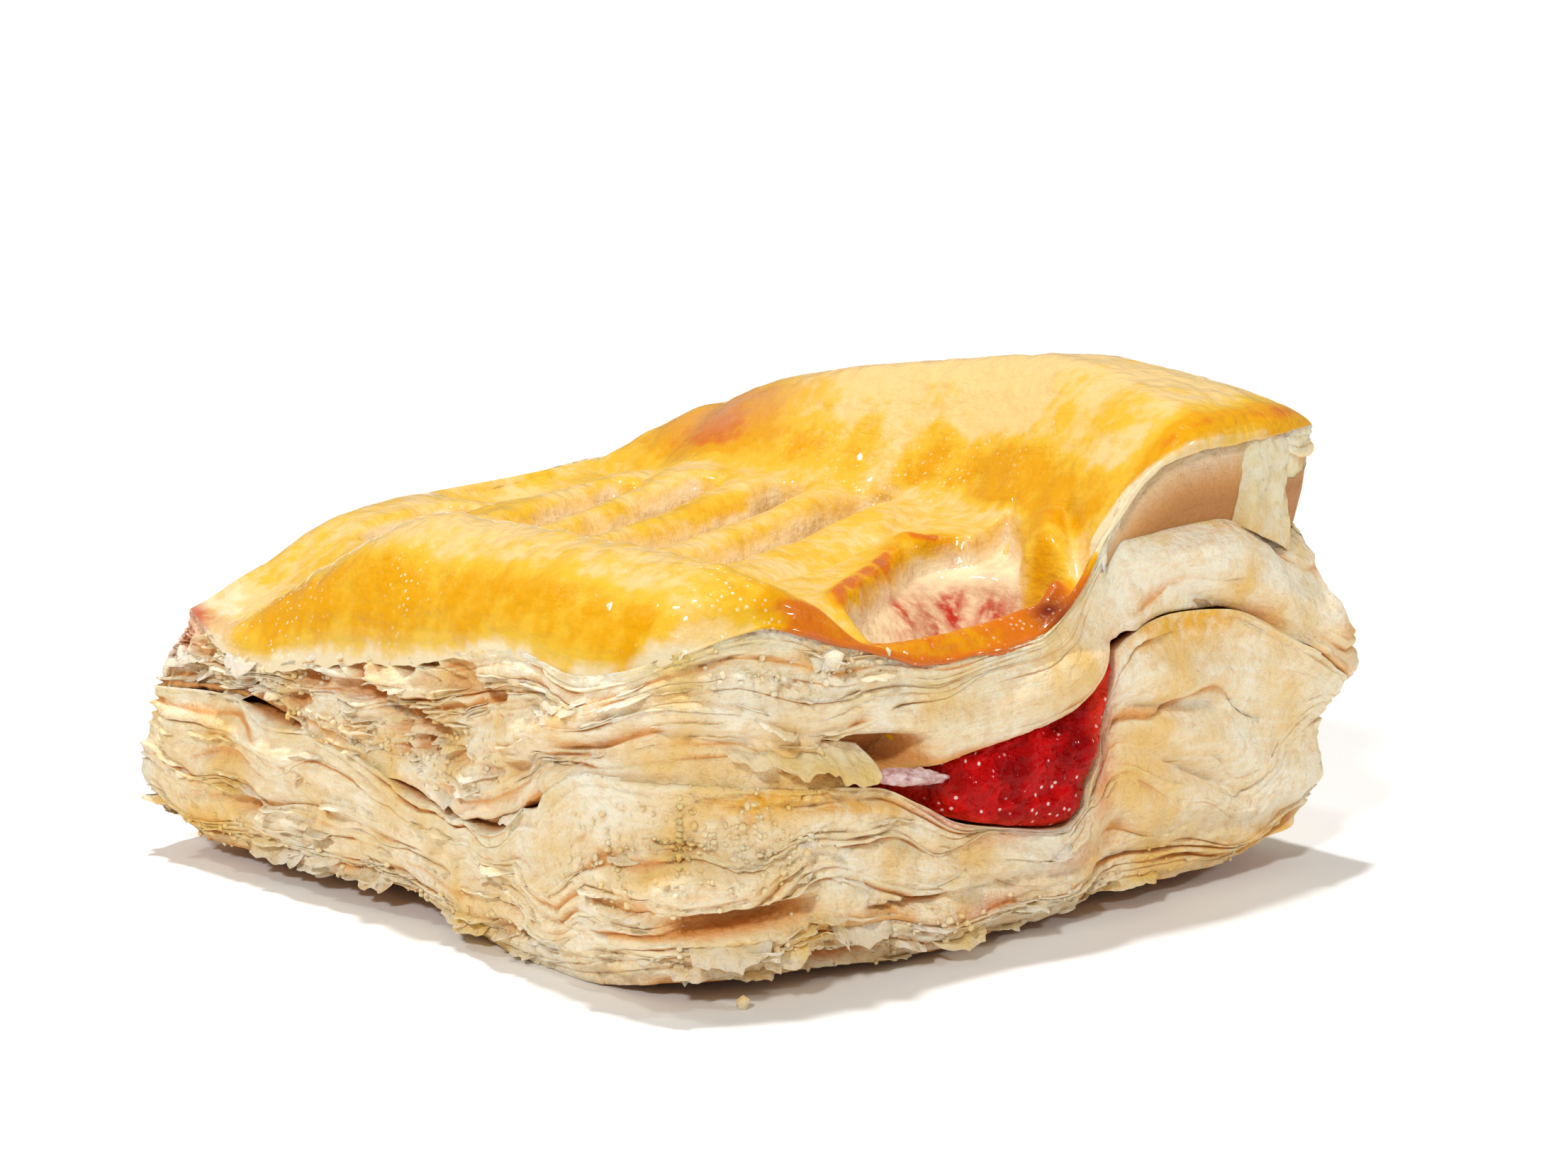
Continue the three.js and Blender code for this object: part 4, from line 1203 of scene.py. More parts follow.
flakes = {
    "seed": 11,
    "across": 5,
    "thickness": 0.13,
    "root": 0.35,
    "spacing": 0.32,
    "squarer": 0.65,
    "highest": 0.86,
    "floor": 0.08,
    "scattered": {
        "front": {"number": 95, "reach": (0.5, 1.7)},
        "left": {"number": 85, "reach": (0.5, 1.6)},
        "right": {"number": 26, "reach": (0.3, 0.9)},
        "back": {"number": 30, "reach": (0.3, 0.9)},
    },
    "length": (1.8, 8),
    # stretches of a sheet's side, from one x or y to another, that carry no scattered flakes
    "none": [(1, "front", -20, 50), (0, "front", 13, 50), (1, "right", -50, -36)],
    # bigger chips: the sheet, 0 below and 1 above, the side, the place along it and up it, how long
    # the chip is, how far it reaches out, how far it lifts for each mm of that, and how golden it is
    "placed": [
        (0, "front", -36.5, 7, 8.5, 1.3, -1.6, 0.1),
        (0, "front", -31.5, 5.4, 6, 1.5, -1, 0.35),
        (0, "front", -38, 4.2, 9, 1.4, -0.9, 0.35),
        (0, "front", -22.5, 6.4, 9.5, 1, -2.1, 0.05),
        (0, "front", -26, 3.4, 8, 1.3, -0.8, 0.3),
        (0, "front", -15.5, 3.4, 7, 1.2, -0.7, 0.4),
        (0, "front", -31, 2.4, 12, 1.8, -0.3, 0.5),
        (0, "front", -9, 2.4, 9, 1.6, -0.5, 0.3),
        (0, "front", 16, 3.6, 12, 1.4, -0.4, 0.5),
        (0, "left", 26, 4, 9, 1.2, -1.6, 0.1),
        (0, "left", 10, 4.2, 7, 1.4, -1.4, 0.5),
        (0, "left", -7, 3, 8, 1.6, -0.8, 0.4),
        (0, "left", 45.5, 6, 3, 2.4, 0.1, 0.7),
        (1, "left", 31, 25.6, 9, 1.5, -1.1, 0.1),
        (1, "left", -16, 15.6, 5, 0.8, -1.2, 0),
        (1, "left", -4, 16.2, 5, 0.9, -1.3, 0),
    ],
}


def makeFlakes(walls, material):
    made = flakes
    draw = np.random.default_rng(made["seed"])
    points, faces, golds = [], [], []
    perLeaf = len(leafProfile["up"])

    def addFlake(walk, wall, ring, middle, length, reach, lift, gold, ragged=1):
        count = len(walk["x"])
        salt = draw.uniform(0, 200)
        across = max(6, int(length / made["spacing"] / 1.5))
        columns = middle + np.linspace(-0.5, 0.5, across) * length / made["spacing"]
        columns = np.round(columns).astype(int) % count
        t = np.linspace(0, 1, across)
        torn = 0.4 * noise(t * length / 1.4 + salt, t * 0 + 3)
        torn = torn + 0.25 * noise(t * length / 0.6 + salt, t * 0 + 8)
        edge = np.clip(np.sin(math.pi * t) ** (0.45 * ragged) * (1 + torn * ragged), 0.02, None) * reach
        x, y, z = wall["x"][ring, columns], wall["y"][ring, columns], wall["z"][ring, columns]
        outX, outY = walk["outX"][columns], walk["outY"][columns]
        layers = []
        for face in (1, -1):
            for row in np.linspace(0, 1, made["across"] - 1):
                away = -made["root"] + (edge + made["root"]) * row
                curl = lift * edge * row**2 + 0.18 * noise(t * length / 1.1 + salt, row * 3 + t * 0)
                half = face * made["thickness"] / 2 * (1 - 0.7 * row)
                height = np.maximum(z + curl + half, made["floor"] + 0.05 * face)
                layers.append(np.stack([x + outX * away, y + outY * away, height], 1))
        rows = made["across"] - 1
        base = len(points)
        points.extend(np.concatenate(layers).tolist())
        golds.extend([gold] * (across * rows * 2))
        order = list(range(rows)) + [rows + r for r in reversed(range(rows))]
        for a, b in zip(order, order[1:] + order[:1]):
            for c in range(across - 1):
                faces.append([base + a * across + c, base + a * across + c + 1,
                              base + b * across + c + 1, base + b * across + c])
        for c in (0, across - 1):
            for r in range(rows - 1):
                faces.append([base + r * across + c, base + (r + 1) * across + c,
                              base + (rows + r + 1) * across + c, base + (rows + r) * across + c])

    for sheet, (walk, wall) in enumerate(walls):
        rings = len(wall["z"])
        for side, kind in made["scattered"].items():
            onSide = np.flatnonzero(walk["side"] == side)
            for _ in range(kind["number"]):
                ring = perLeaf * draw.integers(0, rings // perLeaf) + draw.integers(1, 4)
                middle = draw.choice(onSide)
                nearCorner = np.max([walk["facing"][name][middle] for name in walk["facing"]]) < 0.93
                along = walk["x" if side in ("front", "back") else "y"][middle]
                left = any(sheet == n and side == name and a < along < b for n, name, a, b in made["none"])
                high = wall["share"][ring, middle] > made["highest"]
                if high or left or nearCorner and side in ("right", "back"):
                    continue
                length = draw.uniform(*made["length"])
                reach = draw.uniform(*kind["reach"]) * (0.4 if nearCorner else 1)
                addFlake(walk, wall, ring, middle, length, reach, draw.uniform(-0.6, 0.25), 0)
    for sheet, side, at, z, *form in made["placed"]:
        ring, middle = onWall(*walls[sheet], side, at, z)
        addFlake(*walls[sheet], ring, middle, *form, made["squarer"])
    points = np.array(points)
    points[:, :2] += planShift
    mesh = bpy.data.meshes.new("flakes")
    mesh.from_pydata((points * mm).tolist(), [], faces)
    piece = joinScene("flakes", mesh)
    selectOnly(piece)
    bpy.ops.object.mode_set(mode="EDIT")
    facesOutward()
    paint(piece, "gold", golds)
    finishPiece(piece, [], material)
    print("flakes made", len(faces))


def onWall(walk, wall, side, at, z):
    # the ring and the number round of the wall's point nearest to a place on a side
    along = walk["x"] if side in ("front", "back") else walk["y"]
    middle = np.argmin(np.abs(along - at) + 1000 * (walk["side"] != side))
    return np.argmin(np.abs(wall["z"][:, middle] - z)), middle


# Thin torn sheets of dough: a flap over the left end of the mouth, and a strip of web in the arch
sheets = {
    "tornFlap": {
        "from": -37, "to": -20.6, "across": 110, "down": 18, "thickness": 0.16,
        "top": curve([(-37, 26.6), (-30, 25.6), (-24, 25), (-20.6, 24.2)]),
        "low": curve([(-37, 25.6), (-33, 23.4), (-28, 21.9), (-24, 21.3), (-22.2, 21), (-20.6, 22.4)]),
        # how far in front of the dough it hangs at the top, half way and at its torn edge
        "out": curve([(0, -2), (0.3, -0.5), (0.65, 0.5), (1, 1.1)]),
        "crumple": 0.55, "pleats": 0, "ragged": 1, "toastAndShade": (0, 0.3), "gold": 0,
        "hangsOver": (21, 27),
    },
    "archWeb": {
        "from": 29.5, "to": 43.2, "across": 110, "down": 40, "thickness": 0.2,
        "out": curve([(0, -0.5), (0.15, 0.05), (0.5, -0.15), (1, 0.25)]),
        "crumple": 0.35, "pleats": 0.4, "ragged": 0, "toastAndShade": (0.2, 0.4), "gold": 0.3,
        # how far its two ends turn back into the arch, and where it meets the crust and the fold
        "turnIn": (4, 3), "underCrust": 2, "belowFold": 1,
    },
}


def frontLine(walk, wall, x, low, high):
    # the foremost y of the front between two heights at each x, smoothed along the side
    here = walk["side"] == "front"
    between = (wall["z"] > low) & (wall["z"] < high)
    foremost = np.where(between, wall["y"], walk["y"]).min(0)[here]
    order = np.argsort(walk["x"][here])
    smoothed = np.convolve(foremost[order], np.ones(17) / 17, "same")
    return np.interp(x, walk["x"][here][order], smoothed)


def makeSheet(name, walls, material):
    made = sheets[name]
    piece = unitGrid(name, made["across"], made["down"])
    bpy.ops.object.modifier_add(type="SOLIDIFY")
    piece.modifiers[-1].thickness = 1
    piece.modifiers[-1].offset = -1
    bpy.ops.object.modifier_apply(modifier=piece.modifiers[-1].name)
    co = coordinates(piece)
    along, down, behind = co[:, 0], co[:, 1], np.round(-co[:, 2])
    x = mix(made["from"], made["to"], along)
    if name == "tornFlap":
        topZ, lowZ = made["top"](x), made["low"](x)
        y = frontLine(*walls[1], x, *made["hangsOver"])
    else:
        walk = walls[1][0]
        atFront = np.flatnonzero(walk["side"] == "front")
        order = atFront[np.argsort(walk["x"][atFront])]
        y = np.interp(x, walk["x"][order], walk["y"][order])
        leftTurn, rightTurn = made["turnIn"]
        y = y + leftTurn * (1 - ease(along / 0.3)) + rightTurn * ease((along - 0.8) / 0.2)
        topZ, lowZ = crustHeight(x, y + 2) - made["underCrust"], arch["foldTop"](x) - made["belowFold"]
    torn = cloud(x / 3.4, x * 0, 3) + 0.35 * noise(x / 0.7, x * 0 + 5)
    z = mix(topZ, lowZ + made["ragged"] * torn, down)
    pleat = noise(x / 1.8 + 0.9 * down, down * 1.6) * (0.4 + 0.6 * np.sin(math.pi * np.clip(down, 0, 1)))
    away = made["out"](down) + made["crumple"] * cloud(x / 2.4, z / 2.4, 3) + made["pleats"] * pleat
    y = y - away + made["thickness"] * behind
    x, y = pulled(x, y, 1) if name == "archWeb" else (x, y)
    place(piece, x, y, z)
    # standing the sheet up turned its faces inwards
    bpy.ops.object.mode_set(mode="EDIT")
    facesOutward()
    pale, browned = made["toastAndShade"]
    # the sheet is made darker towards its lower edge; on the pleated web, painted shade darkens the folds set
    # back and the pleats standing out are lighter
    paint(piece, "toastAndShade", np.clip(mix(pale, browned, down**2) - 0.4 * pleat * made["pleats"], 0, 1))
    paint(piece, "gold", made["gold"] * down)
    finishPiece(piece, [], material)
    print(name, "made")


# The pale smear of cooked filling at the left end of the mouth
smear = {
    "x": -15.6, "z": 20.3, "wide": 4.9, "high": 0.95, "deep": 1.1, "tilt": -0.17, "inwards": 0.2,
    "tones": {"pale": tone(232, 208, 205), "pink": tone(196, 138, 138)},
}


def makeSmear(walls):
    made = smear
    material, tree, shader = newMaterial("paleSmear")
    mottle = pattern(tree, 900, 4)
    colour = layered(tree, made["tones"], "pale", [("pink", ramp(tree, mottle, 0.35, 0.65))])
    dressShader(tree, shader, colour, {"Roughness": 0.4}, [(mottle, 0.5, 0.0005)])
    bpy.ops.mesh.primitive_uv_sphere_add(segments=72, ring_count=36, radius=1)
    piece = bpy.context.object
    piece.name = "paleSmear"
    x, y, z = coordinates(piece).T
    walk, wall = walls[0]
    _, number = onWall(walk, wall, "front", made["x"], made["z"])
    lumps = 1 + 0.3 * cloud(x * 3 + 5, z * 2 + y, 3)
    px = made["x"] + made["wide"] * x * (1 + 0.1 * lumps)
    pz = made["z"] + made["high"] * z * lumps + made["tilt"] * (px - made["x"])
    py = walk["y"][number] + made["inwards"] + made["deep"] * y * lumps
    place(piece, px, py, pz)
    finishPiece(piece, [], material)
    print("smear made")


crumbs = {
    "seed": 29,
    "size": (0.12, 0.42),
    # the sheet, the side, the place along it and up it, the reach both ways and how many
    "places": [
        (0, "front", -36, 16, 9, 5, 150),
        (0, "left", -33, 15, 7, 5, 80),
        (1, "left", 4, 20, 18, 2.5, 110),
        (1, "left", 30, 24, 14, 2.5, 60),
        (1, "front", -28, 33, 12, 1.4, 70),
        (0, "front", -28, 4, 18, 2.5, 110),
        (0, "left", 12, 4, 30, 2.5, 80),
        (0, "front", 10, 4, 26, 2.5, 40),
    ],
    "lump": {"x": -26.8, "z": 33.6, "size": 1.5, "number": 5},
    "onFloor": [(-35.4, -41.6, 0.7), (-35.1, -41.1, 0.5)],
}


def makeCrumbs(walls, material):
    made = crumbs
    draw = np.random.default_rng(made["seed"])
    bpy.ops.mesh.primitive_ico_sphere_add(subdivisions=1, radius=1)
    sample = bpy.context.object
    shape = coordinates(sample)
    corners = np.array([list(face.vertices) for face in sample.data.polygons])
    bpy.data.objects.remove(sample)
    middles = []
    for sheet, side, at, z, wide, high, count in made["places"]:
        walk, wall = walls[sheet]
        for _ in range(count):
            along = at + wide * draw.uniform(-1, 1)
            ring, number = onWall(walk, wall, side, along, z + high * draw.normal(0, 0.55))
            size = draw.uniform(*made["size"])
            out = 0.4 * size
            x = wall["x"][ring, number] + walk["outX"][number] * out
            y = wall["y"][ring, number] + walk["outY"][number] * out
            middles.append((x, y, max(wall["z"][ring, number], size), size))
    lump = made["lump"]
    walk, wall = walls[1]
    for _ in range(lump["number"]):
        along = lump["x"] + draw.normal(0, 0.6)
        ring, number = onWall(walk, wall, "front", along, lump["z"] + draw.normal(0, 0.3))
        x, y, z = (wall[name][ring, number] for name in ("x", "y", "z"))
        middles.append((x, y + 0.3, z, lump["size"] * draw.uniform(0.5, 1)))
    middles.extend((x, y, 0.8 * size, size) for x, y, size in made["onFloor"])
    points, faces = [], []
    for x, y, z, size in middles:
        stretch = size * draw.uniform(0.6, 1.3, 3) * draw.uniform(0.75, 1.25, (len(shape), 1))
        faces.append(corners + len(shape) * len(points))
        points.append(shape * stretch + (x + planShift[0], y + planShift[1], z))
    mesh = bpy.data.meshes.new("crumbs")
    mesh.from_pydata((np.concatenate(points) * mm).tolist(), [], np.concatenate(faces).tolist())
    piece = joinScene("crumbs", mesh)
    paint(piece, "gold", np.repeat(draw.uniform(0, 0.35, len(middles)), len(shape)))
    finishPiece(piece, [], material)
    print("crumbs made")


crust = {
    "cells": 272,
    "lipRings": 7,
    # how far the lip hangs down and stands out on each side, in mm
    "lipDrop": {"front": 0.35, "right": 0.8, "back": 0.9, "left": 0.9},
    "lipOut": {"front": 0.2, "right": 0.15, "back": 0.2, "left": -0.15},
    "lipDropArch": 1.0,
    "ropeLip": {"x": (-36, 6, 11, 4), "out": 0.45, "drop": 0.8, "rise": 0.4},
    "thickness": 0.8,
    "caps": (0.995, 0.975, 0.95, 0.96, 0.96, 0.95, 0.94, 0.92, 0.9, 0.85, 0.75, 0.5),
    "underDeeper": 8,
    # a stretch is where it starts and its ramp, and where it ends and its ramp
    "slitCut": {"deep": 3.4, "wide": 1.5},
    "slitBack": {"rise": 0.9, "x": (-18, 4, 10, 3)},
    "behindRope": {"deep": 2.2, "x": (-16, 8, 10, 2), "y": (-43.4, 1.2, -34, 6)},
    "rope": {"rise": 0.8, "y": -44.5, "wide": 1.5, "x": (-30, 8, 8, 4)},
    "slitFloor": 3.2,
    "bridge": {"x": 6, "y": -44, "toX": 17, "toY": -31, "rise": 2.1, "fold": 1.5},
    # the puffed strips between the slits, on lines that climb to the right
    "strips": {
        "rise": 1.7, "slope": 0.28, "first": -7.5, "apart": 11.2,
        "x": (-22, 6, 22, 8), "across": (-24, 5, 42, 8),
    },
    "swells": 0.25,
    "wrinkles": {"least": 0.07, "onRidge": 0.14, "ridge": -24},
    "humpStep": {"rise": 1.2, "y": 36},
    # how baked it is: 0 pale, 0.5 amber, 1 orange, 1.5 brown
    "baked": 0.22,
    "foot": {"more": 0.4, "z": (40, 2, 48.4, 3), "x": 12, "y": -44},
    "leftSlope": {"more": 0.38, "x": -38, "y": (-40, 8, 36, 10)},
    "frontRope": {"more": 0.75, "y": -40, "x": (-36, 8, 10, 4)},
    "slitBrown": {"more": 1.1, "x": (-19, 3, 12, 4)},
    "outerDough": {"aside": 3.4, "along": (-4, 3, 8, 4), "wide": 3.4, "inArch": 0.5, "x": (10, 4, 40, 6)},
    # spots in plan: the middle, the reach both ways and by how much
    "spots": {
        "browned": [
            (25.5, 14, 2.5, 3, 0.32), (26, 6, 2.5, 2.5, 0.3), (28.5, 33, 6, 12, 0.76),
            (25, 28, 2.5, 9, 0.32), (36, -8, 8, 34, -0.26), (22, -45, 7, 3, 0.25), (40, -46, 9, 4, 0.5),
            (-30, -41, 8, 3.5, 0.25), (-32, 8, 5, 26, -0.08), (-12, 30, 8, 3, 0.2),
            (0, 10, 12, 2.5, 0.3), (13, -33, 3, 8, 0.12),
        ],
        # white specks of dried glaze, and painted glints where the glaze shines
        "glazeSpecksAndGlints": [
            (-42, 28, 4, 9, 1), (-41, 2, 2.5, 5, 0.8), (-36, -38, 6, 5, 1), (24, -8, 4, 18, 0.7),
            (-4, -45, 14, 2, 0.5),
        ],
        "dark": [(3.6, -45.4, 2.2, 1.6, 1), (-14, -38, 2, 2, 0.5)],
        "blushHump": [(30, 30, 3.6, 9, 0.8)],
        "blushCorner": [(-44, 42, 4, 7, 0.6)],
        "stainCorner": [(-45, 46, 4, 5, 0.75)],
    },
}


def slitShare(x, y, width):
    # 1 in the middle of each cut across the top, fading over the given width
    total = 0
    for slit in slits["rows"]:
        along = band(x, slit["from"] + 1, 3, slit["to"] - 1, 3)
        bend = 0.6 * noise(x / 7 + slit["y"], x * 0 + 3)
        total = total + along * bell(y - slit["y"] - slit["slope"] * x - bend, width)
    return total


def besideBridge(x, y):
    # how far a place is along the bridge at the open slit's right, how far to the right of the
    # bridge's middle, and 1 where the bridge is
    bridge = crust["bridge"]
    run = np.hypot(bridge["toX"] - bridge["x"], bridge["toY"] - bridge["y"])
    stepX, stepY = (bridge["toX"] - bridge["x"]) / run, (bridge["toY"] - bridge["y"]) / run
    along = (x - bridge["x"]) * stepX + (y - bridge["y"]) * stepY
    aside = (x - bridge["x"]) * stepY - (y - bridge["y"]) * stepX
    return along, aside, band(along, -2, 3, run, 6)


def openShare(x, y):
    # 1 inside the open slit and 0 outside its torn edge
    slit = slits["open"]
    torn = 0.35 * cloud(x / 2.4, y / 2.4, 2)
    aside = besideBridge(x, y)[1]
    ends = ease((x - slit["left"] - 0.5) / 2.5) * ease((-1.7 + torn - aside) / 1.2)
    return ends * band(y, slit["front"], 1.2, slit["back"](x) + torn, 1.3)


def crustRelief(x, y):
    # what the baked skin adds to the plain form, in mm: cuts, puffed strips and wrinkles
    made = crust
    cut, back, behind, rope = (made[name] for name in ("slitCut", "slitBack", "behindRope", "rope"))
    relief = -cut["deep"] * slitShare(x, y, cut["wide"])
    relief = relief + back["rise"] * bell(y - slits["open"]["back"](x) - 1.3, 1.3) * band(x, *back["x"])
    relief = relief - behind["deep"] * band(x, *behind["x"]) * band(y, *behind["y"])
    relief = relief + rope["rise"] * bell(y - rope["y"], rope["wide"]) * band(x, *rope["x"])
    relief = relief - made["slitFloor"] * openShare(x, y)
    # the bridge beside the open slit stands up between it and the fold to its right
    bridge = made["bridge"]
    _, aside, onBridge = besideBridge(x, y)
    relief = relief + onBridge * (bridge["rise"] * bell(aside, 1.6) - bridge["fold"] * bell(aside - 2.9, 0.8))
    strips = made["strips"]
    slanted = y - strips["slope"] * x
    inStrips = band(x, *strips["x"]) * band(slanted, *strips["across"])
    # 0 at each cut and 1 half way to the next
    between = np.abs(((slanted - strips["first"]) / strips["apart"]) % 1 - 0.5) * -2 + 1
    relief = relief + strips["rise"] * inStrips * (1 - (1 - between) ** 2 - 0.5)
    relief = relief + inStrips * (0.3 * noise(x / 7, slanted / 2.5) + 0.06 * noise(x / 1.3, y / 5))
    relief = relief + made["swells"] * cloud(x / 15, y / 15, 2)
    # wrinkles that run slantwise, deeper on the ridge
    wrinkles = made["wrinkles"]
    depth = wrinkles["least"] + wrinkles["onRidge"] * ease((wrinkles["ridge"] - x) / 6)
    relief = relief + depth * cloud((-x * 0.66 + y * 0.75) / 2.2, (x * 0.75 + y * 0.66) / 10, 3)
    step = made["humpStep"]
    relief = relief + step["rise"] * ease((x - top["footX"](y) - 1) / 2.5) * ease((y - step["y"]) / 5)
    return relief + 0.07 * cloud(x / 1.8, y / 1.8, 3)


def spotSum(name, x, y):
    # the sum of the crust's spots of one kind
    spots = crust["spots"][name]
    return sum(
        strength * bell(np.hypot((x - middleX) / reachX, (y - middleY) / reachY), 1)
        for middleX, middleY, reachX, reachY, strength in spots)


def bakedAt(x, y, z):
    made = crust
    baked = made["baked"] + 0.07 * cloud(x / 9 + 4, y / 9 + 9, 2) + 0.06 * cloud(x / 2.4, y / 2.4, 3)
    # the glaze ran down the hump and browned in a band along its foot
    foot = made["foot"]
    uneven = 1.4 * cloud(x / 5, y / 5, 3)
    low, lowRamp, high, highRamp = foot["z"]
    onFoot = band(z, low - uneven, lowRamp, high + uneven, highRamp) * ease((x - foot["x"]) / 3)
    onFoot = onFoot * ease((y - foot["y"]) / 3) * ease((1 - y + 2 * uneven) / 11)
    baked = baked + (foot["more"] + 0.14 * cloud(x / 3.5 + 2, y / 3.5, 2)) * onFoot
    baked = baked + spotSum("browned", x, y)
    left, rope, slit = made["leftSlope"], made["frontRope"], made["slitBrown"]
    baked = baked + left["more"] * ease((left["x"] - x) / 3) * band(y, *left["y"])
    baked = baked + rope["more"] * ease((rope["y"] - y) / 2.5) * band(x, *rope["x"])
    atBack = bell(y - slits["open"]["back"](x) - 0.6, 1.8) * band(x, *slit["x"])
    baked = baked + slit["more"] * atBack * (0.75 + 0.5 * noise(x / 1.9, y / 1.9))
    _, aside, onBridge = besideBridge(x, y)
    return baked + onBridge * (0.3 * bell(aside + 0.3, 1.5) - 0.1 * bell(aside - 3, 1))


def makeCrust(material):
    made = crust
    piece = unitGrid("glazedCrust", made["cells"], made["cells"])
    bpy.ops.object.mode_set(mode="EDIT")
    edge = 0.25 / made["cells"]
    selectBorder(piece, edge)
    extrudeRing(move=(0, 0, -1))
    selectEdges(piece, lambda a, b: abs(a.z - b.z) > 0.5)
    bpy.ops.mesh.subdivide(number_cuts=made["lipRings"] - 1)
    selectEdges(piece, lambda a, b: a.z < -0.999 and b.z < -0.999)
    for size in made["caps"]:
        extrudeRing(move=(0, 0, -0.1), size=size)
    bpy.ops.mesh.merge(type="CENTER")
    facesOutward()

    co = coordinates(piece)
    u, v = np.clip(co[:, 0], 0, 1), np.clip(co[:, 1], 0, 1)
    down = np.clip(-co[:, 2], 0, 1)  # 0 on top to 1 at the lip's end
    below = co[:, 2] < -1.05
    x, y = planAt(u, v)
    sides = {"front": v < edge, "right": u > 1 - edge, "back": v > 1 - edge, "left": u < edge}
    small = 1e-3
    # the way out of the rim there, and how far the lip hangs and stands out
    outX, outY, drop, stand = np.zeros((4, len(u)))
    for name, here in sides.items():
        fixed = np.full(len(u), float(name in ("right", "back")))
        other = v if name in ("left", "right") else u
        low, high = np.clip(other - small, 0, 1), np.clip(other + small, 0, 1)
        a, b = (planAt(fixed, w) if name in ("left", "right") else planAt(w, fixed) for w in (low, high))
        stepX, stepY = b[0] - a[0], b[1] - a[1]
        length = np.hypot(stepX, stepY)
        turn = 1 if name in ("front", "right") else -1
        outX = outX + np.where(here, turn * stepY / length, 0)
        outY = outY - np.where(here, turn * stepX / length, 0)
        drop = np.maximum(drop, np.where(here, made["lipDrop"][name], 0))
        stand = np.maximum(stand, np.where(here, made["lipOut"][name], 0))
    length = np.maximum(np.hypot(outX, outY), 1e-9)
    outX, outY = outX / length, outY / length
    inArch = (v < edge) * band(x, arch["from"], arch["ramp"], arch["to"], arch["ramp"])
    drop = mix(drop, made["lipDropArch"], inArch)
    ropeLip = made["ropeLip"]
    rope = sides["front"] * band(x, *ropeLip["x"])
    stand, drop = stand + ropeLip["out"] * rope, drop + ropeLip["drop"] * rope
    rag = 0.35 * noise(x / 5 + y / 5, x / 4) + 0.3 * noise(x / 1.6 + y / 1.6, y / 1.5) * (1 - rope)
    drop = drop * (1 + rag)
    away = stand * np.sin(math.pi * np.clip(down * 1.1, 0, 1)) - 0.6 * ease((down - 0.8) / 0.2) * (down > 0)
    away = np.where(below, 0, away)
    z = upperTop(u, v) + crustRelief(x, y) * (1 - down) * ease(np.minimum.reduce(sideDistances(u, v)) / 3)
    z = z - drop * np.sin(np.clip(down, 0, 0.8) / 0.8 * math.pi / 2) + ropeLip["rise"] * rope * (down > 0)
    # under the skin the piece is hollowed only above the arch, where its underside shows
    overArch = ease((x - 12) / 5) * ease((-24 - y) / 4)
    deeper = made["underDeeper"] * ease(np.minimum.reduce(sideDistances(u, v)) / 5) * (1 - overArch)
    z = np.where(below, upperTop(u, v) - made["thickness"] - deeper, z)
    px, py = pulled(x + outX * away, y + outY * away, 1)
    place(piece, px, py, z)

    front, right, _, left = sideDistances(u, v)
    baked = bakedAt(x, y, z) + 0.42 * bell(front - 1.6, 1.5) * ease((x - 12) / 3)
    baked = baked + 0.2 * bell(right, 2) + 0.6 * down * rope
    hem = np.minimum(front, left)
    zero = np.zeros_like(u)
    aboveLeft = z - rimEdge["left"](planAt(zero, v)[1])
    aboveFront = z - rimEdge["front"](planAt(u, zero)[0])
    wavy = 0.8 * cloud(y / 4, x / 4, 4)
    onLeft = ease((14 - left) / 4)
    rimFade = ease(0.58 - (aboveLeft + 1.3 * wavy) / 3) * onLeft
    baked = baked - 0.25 * ease(1 - (aboveLeft + 2 * wavy) / 4) * onLeft
    nearCorner = ease((-36 - x) / 4) * ease((6 - front) / 3)
    rimFade = np.maximum(rimFade, 0.6 * ease(0.8 - (aboveFront + wavy) / 1.5) * nearCorner)
    openWall = openShare(x, y) * (down < 0.01)
    valley = np.clip(0.85 * slitShare(x, y - 1.4, 1.5) + openWall, 0, 1)
    # to the right of the bridge a band of dough shows outside the crust, and thins out along the arch
    along, aside, _ = besideBridge(x, y)
    outer = made["outerDough"]
    outside = ease((aside - outer["aside"] + 0.3 * wavy) / 0.8) * band(along, *outer["along"])
    outside = outside * ease(outer["wide"] - front)
    alongArch = outer["inArch"] * ease((0.5 - front) / 0.4) * band(x, *outer["x"])
    outside = np.maximum(outside, alongArch)
    stain = openWall * ease((35 - z) / 2.5) * ease((x + 7) / 6) * (0.75 + 0.6 * noise(x / 2, y / 2))
    stain = stain + 0.25 * openWall * ease(0.3 + noise(x / 2.5, y / 1.5))
    stain = stain + spotSum("stainCorner", x, y) * ease(1 - hem / 4)
    blush = spotSum("blushHump", x, y) + spotSum("blushCorner", x, y) * ease(1 - hem / 6)
    paint(piece, "baked", baked * (1 - 0.7 * openWall))
    for name, share in {
        "bare": valley + rimFade + outside,
        "shade": 1.3 * slitShare(x, y - 0.1, 1),
        "stain": stain,
        "blush": blush * (0.8 + 0.5 * cloud(x / 3, y / 3, 2)),
        "glazeSpecksAndGlints": spotSum("glazeSpecksAndGlints", x, y),
        "dark": spotSum("dark", x, y),
    }.items():
        paint(piece, name, np.clip(share, 0, 1))
    finishPiece(piece, ["upper_sheet"], material)
    print("crust made")


filling = {
    "left": -19.5,
    "right": 11.6,
    "rightInside": 24,
    "front": -44.9,
    "back": 32,
    "across": 260,
    "up": 80,
    "deep": 12,
    "recess": 0.9,
    "bulge": 1.9,
    "wedge": {"from": -9, "deeper": 2.5},
}


